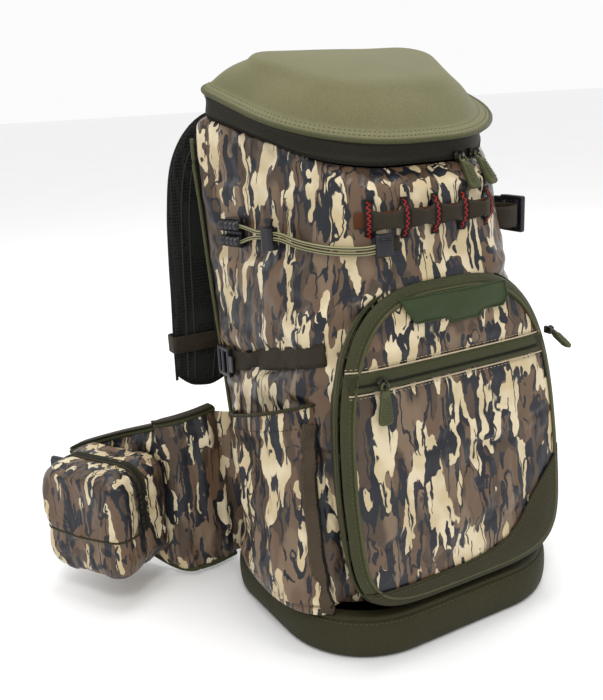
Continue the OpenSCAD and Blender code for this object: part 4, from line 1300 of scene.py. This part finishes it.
def make_side_webbing():
    for side, sign in SIDES:
        y = np.linspace(84, -82, 44)
        half = np.array([body_half(v, side_z(v)) for v in y])
        path = np.c_[sign * half, y, side_z(y)]
        path, ns = lay_on(SHELL_TREE, path, 1.5)
        ns = np.where(ns[:, :1] * sign < 0, -ns, ns)
        path = resample(np.vstack([path[:1], 0.25 * path[:-2] + 0.5 * path[1:-1]
                                   + 0.25 * path[2:], path[-1:]]), 44)
        side_dir = np.cross(unit(np.gradient(path, axis=0)), ns)
        band = strap(path, side_dir, 20, 1.8)
        tack = []
        for k in (-7.5, 7.5):
            tack.append(stitches(path[-9:] + side_dir[-9:] * k + ns[-9:] * 1.0,
                                 ns[-4], 2.4, 1.4, 0.32))
        piece("side_web_" + side, [band] + tack, "pack", [WEB] + [DARK_THREAD] * 2,
              ["side_straps"])
        axes = turned(3 * (1 if side == "left" else -1))
        at = vec(sign * (body_half(66, 239) + 4.2), 66, 238)
        frame_ = []
        for dy, w in ((-9.8, 4.4), (1.2, 4.6), (9.6, 4.6)):
            frame_.append(block((6, w, 27), at + axes[1] * dy, axes, 1.6))
        for dz in (-12.6, 12.6):
            frame_.append(block((5.4, 24, 4), at + [0, 0, dz], axes, 1.5))
        frame_.append(block((3.4, 9, 17), at + axes[1] * -14.5 + axes[0] * sign * 0.8, axes, 1.2))
        piece("side_ladder_lock_" + side, frame_, "pack", PLASTIC,
              ["side_buckles"])


make_side_webbing()


def make_gear_strap():
    x, y, z = 123.5, -56, 366
    route = spline(np.array([[88, -68, z], [98, -74.5, z], [x - 12, -73, z], [x - 4, -64, z],
                             [x - 4.4, -50, z], [x - 11, -38, z], [105, -28, z]]), 5)
    piece("gear_web", [strap(route, UP, 20, 1.8)], "pack", WEB,
          ["gear_strap"])
    shell = [block((5.4, 6, 34), (x, y - 12.4, z), None, 1.6),
             block((5.4, 5, 34), (x, y - 4.6, z), None, 1.6),
             block((6.4, 10, 27), (x, y + 2.6, z), None, 2.4),
             block((5.4, 20, 5.4), (x, y + 5, z + 14.3), None, 1.8),
             block((5.4, 20, 5.4), (x, y + 5, z - 14.3), None, 1.8),
             block((5.4, 3.6, 25), (x, y + 13, z), None, 1.2),
             block((5.2, 26, 4), (x, y - 2, z + 15.2), None, 1.6),
             block((5.2, 26, 4), (x, y - 2, z - 15.2), None, 1.6)]
    piece("gear_buckle_shell", shell, "pack", PLASTIC, ["gear_buckle_frame"])
    tail = np.array([[x, y + 21, z], [x, y + 24.8, z], [x + 0.4, y + 38, z], [x + 1, y + 50, z]])
    piece("gear_tail", [strap(spline(tail, 5), UP, 20, 1.8)], "gear_buckle_tongue", WEB,
          ["gear_strap_tail"])


make_gear_strap()

# ---------- sliders and pulls ----------

def make_pull(name, at, axes, length, width, thick, body, mat, node, tilt=0.0):
    """A moulded pull: a cord loop through the slider's lug, and a tapered ribbed tab.
    Rows of axes are across, away from the surface, and up; the tab hangs down."""
    axes = np.asarray(axes, float)
    t = math.radians(tilt)
    out = axes[1] * math.cos(t) + axes[2] * math.sin(t)
    up = axes[2] * math.cos(t) - axes[1] * math.sin(t)
    m = np.array([axes[0], out, up])
    at = np.asarray(at, float)
    loop = np.array([[-3.4, 0, -7.6], [-3.5, 0, -4], [-3.2, 0, -1.4], [-1.7, 0, 0.1], [0, 0, 0.4],
                     [1.7, 0, 0.1], [3.2, 0, -1.4], [3.5, 0, -4], [3.4, 0, -7.6]]) @ m + at
    z = np.linspace(0, 1, 26)
    half = np.interp(z, [0, 0.07, 0.2, 0.85, 0.96, 1],
                     np.array([6.4, 8.6, 9, width, width - 1.5, width - 5]) / 2)
    depth = np.interp(z, [0, 0.07, 0.93, 1], [0.6, 1, 1, 0.5]) * thick / 2
    rows = []
    a = np.linspace(0, 2 * math.pi, 36, endpoint=False)
    c, s = np.cos(a), np.sin(a)
    for k in range(26):
        rows.append(np.c_[half[k] * rounded(c, 0.45),
                          depth[k] * rounded(s, 0.45),
                          np.full(36, -6 - length * z[k])])
    tab = grid(np.array(rows) @ m + at, True, True)
    ridges = []
    for k in range(int(length / 2.6)):
        h = -6 - length * 0.2 - k * 2.3
        if h < -6 - length * 0.9:
            break
        w = np.interp((-6 - h) / length, z, half) - 1.1
        for face in (-1, 1):
            line = np.array([[-w, face * thick / 2, h + 1.3],
                             [0, face * (thick / 2 + 0.1), h - 1.3],
                             [w, face * thick / 2, h + 1.3]])
            ridges.append(rod(resample(line, 9) @ m + at, 0.55, 6))
    piece(name, [rod(loop, 1.15, 8), tab] + ridges, body, mat, [node])


def slider_parts(at, axes):
    """A zip slider: a domed body with a bridge that holds the pull's loop."""
    axes = np.asarray(axes, float)
    at = np.asarray(at, float)
    bridge = np.array([[0, 1.4, 3.2], [0, 3.6, 3.0], [0, 5.9, 1.6], [0, 6.4, 0], [0, 5.9, -1.6],
                       [0, 3.6, -3.0], [0, 1.4, -3.2]]) @ axes + at
    return [block((9, 3.4, 7), at, axes, 1.4), block((6.4, 1.6, 5), at + axes[1] * 1.9, axes, 0.8),
            rod(spline(bridge, 3), 1.0, 8, True, axes[0])]


def zip_y(out):
    return panel_y(258) - 16 - out


FACING = np.array([[1.0, 0, 0], [0, -1, 0], [0, 0, 1]])
piece("zip_slider_metal", slider_parts((-80, zip_y(5.1), 258), FACING), "zip_slider", METAL,
      ["zip_slider"])
make_pull("zip_pull_tab", (-80, zip_y(8.9), 258), FACING, 30, 14, 4, "zip_pull", PULL,
          "zip_pull")

EDGE = np.array([120.3, panel_y(262) - 2, 262])
OUTWARD = np.array([[0, 1.0, 0], [1, 0, 0], [0, 0, 1]])
piece("panel_slider_metal", slider_parts(EDGE, OUTWARD), "pack", METAL,
      ["panel_slider"])
make_pull("panel_pull_tab", EDGE + [3.8, 0, 0], OUTWARD, 26, 9, 4.6, "panel_pull", PULL,
          "panel_pull", 48)

NECK_TILT = -math.atan2(53, 158)
NECK_FLAT = 82 - 76 * (1 + math.sin(NECK_TILT)) / math.cos(NECK_TILT)


def at_neck(deg, out):
    t = math.radians(deg)
    at = vec(NECK_FLAT + (76 + out) * math.sin(t), -3 - (76 + out) * math.cos(t),
             lid_plane(-3 - 82 * math.cos(t)) + 5)
    return at, np.array([[math.cos(t), math.sin(t), 0], [math.sin(t), -math.cos(t), 0], [0, 0, 1]])


lid_slider_parts = []
for deg, name in ((6, "front"), (20, "rear")):
    at_s, ax_s = at_neck(deg, 5)
    lid_slider_parts += slider_parts(at_s, ax_s)
    lid_slider_parts.append(block((5, 3.4, 5), at_s - ax_s[1] * 2 + [0, 0, 1], ax_s, 0.8))
    at_s, ax_s = at_neck(deg, 8.8)
    make_pull("lid_pull_tab_" + name, at_s, ax_s, 26, 13, 5, "lid_pull_" + name, PULL,
              "lid_pull_" + name, 34)
piece("lid_sliders_metal", lid_slider_parts, "lid", METAL, ["lid_sliders"])


# ---------- back, straps ----------

def cushion(w, h, corner, thick, at, axes, roll=0.35, channels=(), n=96, rings=22):
    """A padded pad: rolled edges, a crowned face and sewn channels across it. Axes are rows:
    across, up and out; at is the middle of its back."""
    outline = rounded_outline(w, h, corner, 10)
    outline = resample(rejoined(outline), n)[:n]
    outline = resample(outline, n, True)
    rows = []
    edge = min(w, h) / 2
    for k in np.linspace(0, 1, rings):
        if k < 0.22:
            t = k / 0.22 * math.pi / 2
            inset = corner * roll * (1 - math.sin(t)) * 0.5
            z = thick * roll * (1 - math.cos(t)) * 1.2
        else:
            t = (k - 0.22) / 0.78
            inset = edge * t * 0.999
            z = thick * (roll * 1.2 + (1 - roll * 1.2) * (1 - (1 - min(1, t * 1.4)) ** 2.4))
        ring = outline * [1 - inset / (w / 2), 1 - inset / (h / 2)]
        zz = np.full(n, z)
        if k > 0.3:
            for kind, place in channels:
                d = ring[:, 1] - place if kind == "h" else ring[:, 0] - place
                zz = zz - thick * 0.3 * np.exp(-(d / 3.2) ** 2) * smooth(k, 0.3, 0.4)
        rows.append(np.c_[ring, zz])
    P = np.array(rows)
    soft = fractal(P + 33, 34, 2) * 0.5 * smooth(P[..., 2], thick * 0.4, thick)
    P[..., 2] += soft
    P[..., 2] = np.clip(P[..., 2], 0, thick + 1.2)
    world = P @ np.asarray(axes, float) + np.asarray(at, float)
    outward = world[3, 0] - world.reshape(-1, 3).mean(0)
    return turned_over(grid(world, True), np.dot(face_normal(world, 3, 0), outward) < 0)


BACKWARD = np.array([[-1.0, 0, 0], [0, 0, 1], [0, 1, 0]])


def make_back():
    panel = cushion(246, 398, 18, 12, (0, 84, 256), BACKWARD, roll=0.6, n=160, rings=30)
    o = piece("back_panel_mesh", [panel], "pack", MESH, ["back_panel"], subdiv=1)
    outline = rounded_outline(240, 392, 18, 10)
    ring = np.c_[outline[:, 0], np.full(len(outline), 93.6), outline[:, 1] + 256]
    piece("back_panel_binding", [rod(resample(rejoined(ring), 200), 1.8, 8, False)],
          "pack", DARK_WEB)
    pads, pipes = [], []
    for at, w, h, lines in ((-52, 70, 180, (("h", -45), ("h", 0), ("h", 45))),
                            (52, 70, 180, (("h", -45), ("h", 0), ("h", 45))),
                            (0, 186, 106, (("v", -46), ("v", 0), ("v", 46)))):
        z = 118 if at == 0 else 300
        c = 18 if at == 0 else 14
        pads.append(cushion(w, h, c, 12, (at, 96.2, z), BACKWARD, roll=0.5, channels=lines, n=120))
        o2 = rounded_outline(w - 1, h - 1, c, 8)
        ring = np.c_[o2[:, 0] + at, np.full(len(o2), 97.4), o2[:, 1] + z]
        pipes.append(rod(resample(rejoined(ring), 120), 1.3, 8, False))
    o = piece("back_cushions", pads, "pack", MESH, ["back_pads"], subdiv=1)
    piece("back_cushion_piping", pipes, "pack", DARK_WEB)


make_back()


STRAP = spline(np.array([[-70, 104, 418, 26], [-75, 109, 435, 28], [-88, 118, 446, 30],
                         [-104, 125, 440, 31], [-117, 129, 417, 32], [-123, 131.5, 378, 32],
                         [-126, 132, 333, 32], [-128, 132, 283, 32], [-131, 130, 240, 32],
                         [-138, 128, 196, 27]]), 10)


def make_shoulder_strap(side):
    q = evenly(STRAP, 3.2)
    p, hw = q[:, :3], q[:, 3:]
    t = unit(np.gradient(p, axis=0))
    s = unit(np.cross(t, [0, -1, 0]))
    n = np.cross(t, s)
    nu = 44
    a = np.linspace(0, 2 * math.pi, nu, endpoint=False)
    c, d = np.cos(a), np.sin(a)
    across = rounded(c, 0.5)
    deep = rounded(d, 0.6)
    end = np.minimum(1, np.sqrt(np.minimum(np.arange(len(p)), np.arange(len(p))[::-1]) / 4 + 0.12))
    P = p[:, None] + s[:, None] * (across[None, :, None] * hw[:, None] * end[:, None, None]) \
        + n[:, None] * (deep[None, :, None] * 6.5 * end[:, None, None])
    N = normals(P)
    soft = fractal(P * [1, 1, 0.8] + 9, 30, 2)[..., None] * 0.5
    rows = np.abs(across)[None, :, None] * np.ones((len(p), 1, 1))
    groove = np.exp(-((rows - 0.78) / 0.05) ** 2)
    P = P + N * (soft - groove - 0.2)
    if side == "right":
        P = P[:, ::-1] * [-1, 1, 1]
    part = turned_over(grid(P, True, True),
                       np.dot(face_normal(P, 41, 0), P[41, 0] - P[41].mean(0)) < 0)
    o = piece("shoulder_pad_" + side, [part], "pack", MESH,
              ["shoulder_strap_" + side], subdiv=1)
    flip_x = [-1, 1, 1] if side == "right" else [1, 1, 1]
    trim = [rod((p + s * hw * 0.985 * k)[2:-2] * flip_x, 1.6, 8) for k in (-1, 1)]
    lines = [rod((p + s * hw * k + n * 6.1 * face)[3:-3] * flip_x, 1.0, 6)
             for k in (-0.62, -0.36, 0.36, 0.62) for face in (-1, 1)]
    piece("shoulder_trim_" + side, trim + lines, "pack", [DARK_WEB] * 2 + [DARK_THREAD] * 8)


for side_name, _ in SIDES:
    make_shoulder_strap(side_name)


def make_strap_ends():
    for side, sign in SIDES:
        route = spline(np.array([[-104, 127.2, 206], [-96, 127.6, 205], [-91, 124, 205],
                                 [-86.5, 115, 204], [-85, 107, 203], [-85, 97, 202]]), 5)
        route = route * [-sign, 1, 1]
        piece("strap_tail_" + side, [strap(route, UP, 20, 1.8)], "pack", DARK_WEB,
              ["strap_webbing"])
        axes = turned(4 * -sign)
        at = vec(sign * 93.5, 125, 205)
        parts = [block((3.4, 5, 26), at + axes[0] * d, axes, 1.4) for d in (-6.8, 0, 6.8)]
        parts += [block((17, 4.6, 3.6), at + [0, 0, d], axes, 1.4) for d in (-11.8, 11.8)]
        piece("strap_ladder_lock_" + side, parts, "pack", PLASTIC,
              ["strap_adjusters"])
        o = rounded_outline(69.6, 18.6, 4, 8)
        rows = []
        for z, out in ((-8.6, 0), (-9, 0.7), (-8.4, 1.3), (8.4, 1.3), (9, 0.7), (8.6, 0),
                       (8.4, -0.9), (-8.4, -0.9), (-8.6, 0)):
            r = o + unit(o) * out
            rows.append(np.c_[r[:, 0], r[:, 1], np.full(len(r), z)])
        P = np.array(rows) + [sign * 130.4, 130.4, 246]
        made = grid(P, True)
        webs = []
        for dy in (-10.0, 10.0):
            line = np.array([[x, 130.4 + dy, 246.0] for x in np.linspace(-28, 28, 9)])
            webs += [stitches(line + [sign * 130.4, 0, dz], (0, np.sign(dy), 0), 2.4, 1.4, 0.3)
                     for dz in (7, -7)]
        piece("sternum_loop_" + side, [made] + webs, "sternum_band_" + side,
              [WEB] + [DARK_THREAD] * 4, ["sternum_band_" + side])


make_strap_ends()


def make_haul_handle():
    route = spline(np.array([[-24, 101.2, 438.4], [-24, 104.6, 438.8], [-24, 109, 440],
                             [-17, 120, 446], [0, 124, 449], [17, 120, 446], [24, 109, 440],
                             [24, 104.6, 438.8], [24, 101.2, 438.4]]), 6)
    t = np.linspace(-1, 1, len(route))
    width = 19 - 3.5 * np.exp(-(t / 0.5) ** 2) - 12.5 * smooth(np.abs(t), 0.56, 1)
    grip = route[len(route) // 2 - 12: len(route) // 2 + 13]
    pieces_ = [strap(route, (0, -0.5, 1), width, 2.2)]
    _, s, n = frames(grip, (0, -0.5, 1))
    a = np.linspace(0, 2 * math.pi, 20, endpoint=False)
    P = grip[:, None] + 8.0 * np.cos(a)[:, None] * s[:, None] \
        + 2.5 * np.sin(a)[:, None] * n[:, None]
    pieces_.append(grid(P, True, True))
    piece("haul_loop", pieces_, "haul_handle", [WEB, GUARD], ["haul_handle"])
    tabs = []
    for x in (-24, 24):
        tabs.append(strap(spline(np.array([[x, 96.6, 414], [x, 97.2, 424], [x, 97.6, 432],
                                           [x, 100.3, 438.2]], float), 4), (1, 0, 0), 19, 1.8))
        tabs += [stitches(np.array([[x - 7, y, z], [x + 7, y, z]]), (0, 1, 0))
                 for y, z in ((98.3, 416), (98.5, 426))]
    piece("haul_tabs", tabs, "pack", ([WEB] + [THREAD] * 2) * 2)


make_haul_handle()

# ---------- hip belt ----------

WING = spline(np.array([[-133, 97, 94, 88], [-160, 93, 92, 87], [-182, 97, 90, 85],
                        [-194, 109, 88, 81], [-220, 151, 88, 65], [-249, 197, 88, 45],
                        [-262, 218, 87, 33]], float), 10)


def make_wing_form():
    q = evenly(WING, 2.6)
    p, hw = q[:, :3], q[:, 3]
    t = unit(np.gradient(p, axis=0))
    up = unit(vec(0, 0, 1) - t * t[:, 2:])
    inward = np.cross(t, up)
    nu = 72
    a = np.linspace(0, 2 * math.pi, nu, endpoint=False)
    c, d = np.cos(a), np.sin(a)
    high = rounded(c, 0.42)
    deep = -rounded(d, 0.62)
    n = len(p)
    k = np.arange(n)
    end = np.minimum(1, np.minimum(k, k[::-1]) / 3 + 0.45)
    P = p[:, None] + up[:, None] * (high[None, :, None] * (hw - 1.5)[:, None, None]) \
        + inward[:, None] * (deep[None, :, None] * 6.2 * end[:, None, None])
    return P, up, inward, p, hw, a


def make_wing():
    P, up, inward, p, hw, a = make_wing_form()
    n, nu = P.shape[:2]
    N = normals(P)
    if np.dot(N[n // 2, nu // 4], inward[n // 2]) > 0:
        N = -N
    along = np.r_[0, np.cumsum(np.linalg.norm(np.diff(p, axis=0), axis=1))][:, None]
    outer = np.clip(np.sin(a), 0, 1)[None] * np.ones((n, 1))
    inner = np.clip(-np.sin(a), 0, 1)[None] * np.ones((n, 1))
    height = np.cos(a)[None] * np.ones((n, 1))
    wob = fractal(P * [1, 1, 0.5], 45, 2)
    crease = np.sin(along / 7.4 + 3.4 * wob + 0.5 * height)
    move = outer ** 0.7 * (2.0 * np.clip(crease, -0.4, 1) - 0.4 + 0.9 * fractal(P + 90, 26, 2))
    channel = np.exp(-((np.abs(height) - 0.42) / 0.05) ** 2)
    move += inner * (0.8 * fractal(P + 20, 34, 2) - 1.6 * channel)
    k = np.arange(n)
    ends = smooth(np.minimum(k, k[::-1])[:, None] * 1.0, 0, 5)
    P = P + N * (move * ends)[..., None]
    pin = np.maximum(1 - smooth(np.abs(np.sin(a)), 0.05, 0.4)[None] * np.ones((n, 1)), 1 - ends)
    P = drape(P, True, pin, grow=0.04, pressure=1.5, cap=3.5)
    return P, up, inward, p, hw


WING_P, WING_UP, WING_IN, WING_MID, WING_HALF = make_wing()


def sided(parts, side):
    return parts if side == "left" else [flipped(q) for q in parts]


def facing(part, middle):
    """The part with its faces turned away from a middle point."""
    v, f, _ = part
    total = 0.0
    for g in f[:: max(1, len(f) // 60)]:
        a, b, c = v[g[0]], v[g[1]], v[g[2]]
        total += np.dot(np.cross(b - a, c - a), (a + b + c) / 3 - middle)
    return turned_over(part, total <= 0)


def make_belt_wing(side):
    P, half = WING_P, WING_P.shape[1] // 2
    n = len(P)
    wing = "hip_wing_" + side
    front = P[:, :half + 1]
    back = np.concatenate([P[:, half:], P[:, :1]], 1)
    k, j = n // 3, half // 2
    outer = turned_over(grid(front), np.dot(face_normal(front, k, 0), -WING_IN[k]) < 0)
    inner = turned_over(grid(back), np.dot(face_normal(back, k, j), WING_IN[k]) < 0)
    caps = []
    for row, sign in ((0, -1), (n - 1, 1)):
        ring = P[row]
        mid = ring.mean(0)
        fan = np.array([ring, mid + (ring - mid) * 0.5, mid + (ring - mid) * 0.02])
        t = WING_MID[1] - WING_MID[0] if row == 0 else WING_MID[-1] - WING_MID[-2]
        caps.append(turned_over(grid(fan, True), np.dot(face_normal(fan, 0, 0), t * sign) < 0))
    o = piece("wing_pad_" + side, sided([outer, inner] + caps, side), wing,
              [CAMO_BELT, MESH, GUARD, GUARD], [wing], subdiv=1)
    top = WING_MID + WING_UP * (WING_HALF - 1.0)[:, None]
    low = WING_MID - WING_UP * (WING_HALF - 1.6)[:, None]
    binding = [rod(top, 3.4, 12, True, WING_UP, 1.5), rod(low, 3.2, 12, True, WING_UP, 1.5)]
    piece("wing_binding_" + side, sided(binding, side), wing, TAPE, subdiv=1)
    web = resample(WING_MID + WING_UP * (WING_HALF + 3.4)[:, None], 60)[1:-1]
    web[1:-1] = 0.25 * web[:-2] + 0.5 * web[1:-1] + 0.25 * web[2:]
    across = np.cross(unit(np.gradient(web, axis=0)), [0, 0, 1.0])
    piece("wing_web_" + side, sided([strap(web, across, 11.5, 2.2)], side), wing, WEB,
          ["wing_webbing_" + side])
    s = 1 if side == "left" else -1
    rows = []
    ring = P[2]
    mid = WING_MID[2]
    for x, y, k_z, k_t in ((-112, 88, 0.93, 0.75), (-120, 90, 0.94, 0.8), (-126, 92.5, 0.95, 0.84),
                           (-131, 95.5, 0.96, 0.9), (-136, 96.6, 0.97, 0.97),
                           (-141, 95.9, 0.975, 0.985)):
        d = ring - mid
        r = np.c_[x + d[:, 0] * k_t, y + d[:, 1] * k_t, 94 + d[:, 2] * k_z]
        rows.append(r)
    root = facing(sided([grid(np.array(rows), True)], side)[0], vec(-126 * s, 92, 94))
    return piece("wing_root_" + side, [root], None, CAMO_BELT)


for side_name, side_sign in SIDES:
    root_piece = make_belt_wing(side_name)
    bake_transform(root_piece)


def make_belt_buckle(side):
    axes = turned(122)
    tip = vec(-262, 218, 87)

    def at(x, y=0.0, z=0.0):
        return tip + vec(x, y, z) @ axes

    web = [strap(np.array([at(x) for x in np.linspace(-5, 16, 8)]), UP, 30, 1.8)]
    hard = [block((6, 6, 42), at(15.4), axes, 2.4), block((4.6, 5.4, 42), at(22), axes, 2.0),
            block((21, 6, 6), at(24.5, 0, 18.6), axes, 2.4),
            block((21, 6, 6), at(24.5, 0, -18.6), axes, 2.4)]
    if side == "left":
        hard += [block((12, 2.2, 34), at(28.6, 1.9), axes, 1.0),
                 block((12, 2.2, 34), at(28.6, -1.9), axes, 1.0),
                 block((3.4, 1.6, 36), at(33.6, 2.2), axes, 0.7)]
    else:
        hard += [block((10, 5.6, 40), at(29.6), axes, 2.2)]
        for z in (-9, 9):
            hard += [block((14, 2.2, 4.6), at(40.6, 0, z), axes, 1.0),
                     block((5, 2.4, 6.4), at(44.4, 0, z + math.copysign(1.0, z)), axes, 1.1)]
        hard.append(block((10, 1.8, 3.4), at(38.6, 0, 0), axes, 0.8))
    body = "belt_buckle_" + side
    piece("belt_clip_" + side, sided(hard + web, side), body, [PLASTIC] * len(hard) + [WEB],
          [body])


for side_name, _ in SIDES:
    make_belt_buckle(side_name)


# ---------- hip pouches ----------

POUCH_AXES = turned(122)
POUCH_AT = vec(-199.5, 99, 30)
# Columns over the top, columns under it, and the row where the zip is.
ARC, REST, POUCH_ZIP_ROW = 96, 64, 7


def in_pouch(p):
    return np.asarray(p, float) @ POUCH_AXES + POUCH_AT


def pouch_outline(inset, corner):
    """The pouch seen from in front, from the left seam over the top to the right seam, and
    back under it."""
    w, h, mid = 102 - 2 * inset, 112 - 2 * inset, (51, 56)
    o = rounded_outline(w, h, corner, 14) + mid
    o = resample(rejoined(o), 1200)
    left = np.argmin(np.abs(o[:, 1] - 46) + 1e3 * (o[:, 0] > 51))
    right = np.argmin(np.abs(o[:, 1] - 46) + 1e3 * (o[:, 0] < 51))
    o = o[:-1]
    steps = (left - right) % len(o)
    arc = o[(right + np.arange(steps + 1)) % len(o)]
    rest = o[(left + np.arange(len(o) - steps + 1)) % len(o)]
    return np.vstack([resample(arc, ARC + 1)[:-1], resample(rest, REST + 1)[:-1]])


def pouch_normals(P):
    N = normals(P)
    return -N if np.dot(N[4, 30], P[4, 30] - P.reshape(-1, 3).mean(0)) < 0 else N


def make_pouch_form():
    rows = []
    for y, inset, corner in ((0.8, 5, 14), (0.2, 0.5, 17), (3, -1.6, 20), (9, -2.6, 22),
                             (17, -2.8, 23), (26, -2.4, 23), (33, -1.8, 23), (38, -1.6, 23),
                             (43, -1.8, 23), (50, -2.2, 24), (58, -2.2, 25), (64, -0.6, 25),
                             (68.6, 2.4, 24), (71.8, 6.6, 23)):
        o = pouch_outline(inset, corner)
        rows.append(np.c_[o[:, 0], np.full(len(o), y), o[:, 1]])
    edge = rows[-1]
    pole = vec(51, 0, 46)
    for k in (0.92, 0.82, 0.7, 0.57, 0.44, 0.31, 0.18, 0.07, 0.004):
        r = pole + (edge - pole) * k
        r[:, 1] = 71.8 + 5.0 * (1 - k) ** 0.6
        rows.append(r)
    P = in_pouch(np.array(rows))
    u = np.arange(ARC + REST)
    to_seam = np.minimum.reduce([u, ARC + REST - u, np.abs(u - ARC)]) * np.ones((len(P), 1))
    v = np.arange(len(P))[:, None] * np.ones(len(u))
    to_zip = np.abs(v - POUCH_ZIP_ROW)
    N = pouch_normals(P)
    free = np.where(v > POUCH_ZIP_ROW, smooth(to_seam, 0, 5), 1) * smooth(to_zip, 0.2, 2.2) \
        * smooth(v, 1, 3)
    move = (1.5 * fractal(P * [1, 1, 0.7] + 60, 30, 3) + 0.5 * fractal(P + 5, 14, 2)) * free
    pucker = 0.7 * np.sin(u[None] * 1.1 + 2 * fractal(P, 20, 2)) \
        * np.exp(-(to_zip / 2.2) ** 2) * smooth(to_zip, 0.2, 1.2)
    P = P + N * (move + pucker - 0.6)[..., None]
    return drape(P, True, 1 - free, grow=0.05, pressure=1.8, cap=4.0)


POUCH = make_pouch_form()


def make_pouch(side):
    P, j = POUCH, POUCH_ZIP_ROW
    wing = "hip_wing_" + side
    mid = P.reshape(-1, 3).mean(0)
    closed = np.concatenate([P, P[:, :1]], 1)
    tub = [facing(grid(closed[:j + 1]), mid), facing(grid(closed[j:, ARC:]), mid)]
    flap = [facing(grid(closed[j:, :ARC + 1]), mid)]
    piece("pouch_body_" + side, sided(tub, side), wing, CAMO_BELT,
          ["pouch_tub_" + side], subdiv=1, thick=1.5, inner=LINING)
    piece("pouch_lid_" + side, sided(flap, side), "pouch_flap_" + side, CAMO_BELT,
          ["pouch_flap_" + side], subdiv=1, thick=1.5, inner=LINING)
    N = pouch_normals(P)
    arc = closed[j, :ARC + 1]
    out = np.concatenate([N, N[:, :1]], 1)[j, :ARC + 1]
    back = -POUCH_AXES[1]
    line = evenly(np.hstack([arc, out]), 2.2)
    arc_p, arc_n = line[:, :3], unit(line[:, 3:])
    tape = strap(arc_p + back * 3.4 + arc_n * 0.5,
                 np.cross(unit(np.gradient(arc_p, axis=0)), arc_n), 7.0, 1.0)
    lip = rod(arc_p + back * 7.2 + arc_n * 0.6, 1.2, 8)
    teeth = coil(arc_p + back * 1.2 + arc_n * 0.9, vec(0, 0, 1), 3.2, 1.6, 0.55)
    piece("pouch_zip_" + side, sided([tape, lip, teeth], side), wing, [LINING, GUARD, DARK_COIL])
    hem = rod(arc_p - back * 1.2 + arc_n * 0.5, 1.3, 8)
    seam = evenly(np.vstack([closed[j:, 0][:-1], closed[j:, ARC][::-1][1:]]), 3)
    piece("pouch_seam_" + side, sided([rod(seam[1:-1], 1.1, 8)], side), wing, GUARD)
    piece("pouch_hem_" + side, sided([hem], side), "pouch_flap_" + side, GUARD)
    axes = np.array([POUCH_AXES[1], POUCH_AXES[0], [0, 0, 1.0]])
    at = in_pouch(vec(104.2, 32, 68))
    pull_at = in_pouch(vec(108, 32, 68))
    if side == "right":
        axes = axes * [-1, 1, 1]
        at, pull_at = at * [-1, 1, 1], pull_at * [-1, 1, 1]
    piece("pouch_slider_" + side, slider_parts(at, axes), wing, METAL)
    make_pull("pouch_tab_" + side, pull_at, axes, 18, 10, 3, "pouch_pull_" + side, PULL,
              "pouch_pull_" + side)


for side_name, _ in SIDES:
    make_pouch(side_name)


# ---------- CAD parts that stay ----------

def dress(node, material, bevel=0.45):
    o = bpy.data.objects[node]
    for s in o.material_slots:
        s.link = "OBJECT"
        s.material = material
    m = o.modifiers.new("edges", "BEVEL")
    m.width, m.segments, m.limit_method = bevel * MM, 2, "ANGLE"
    m.angle_limit = math.radians(40)


for node_name, node_material in (("cord_lock_body", PLASTIC), ("cord_lock_button", PLASTIC),
                                 ("gear_buckle_tongue", PLASTIC), ("frame_stays", ALU)):
    dress(node_name, node_material)
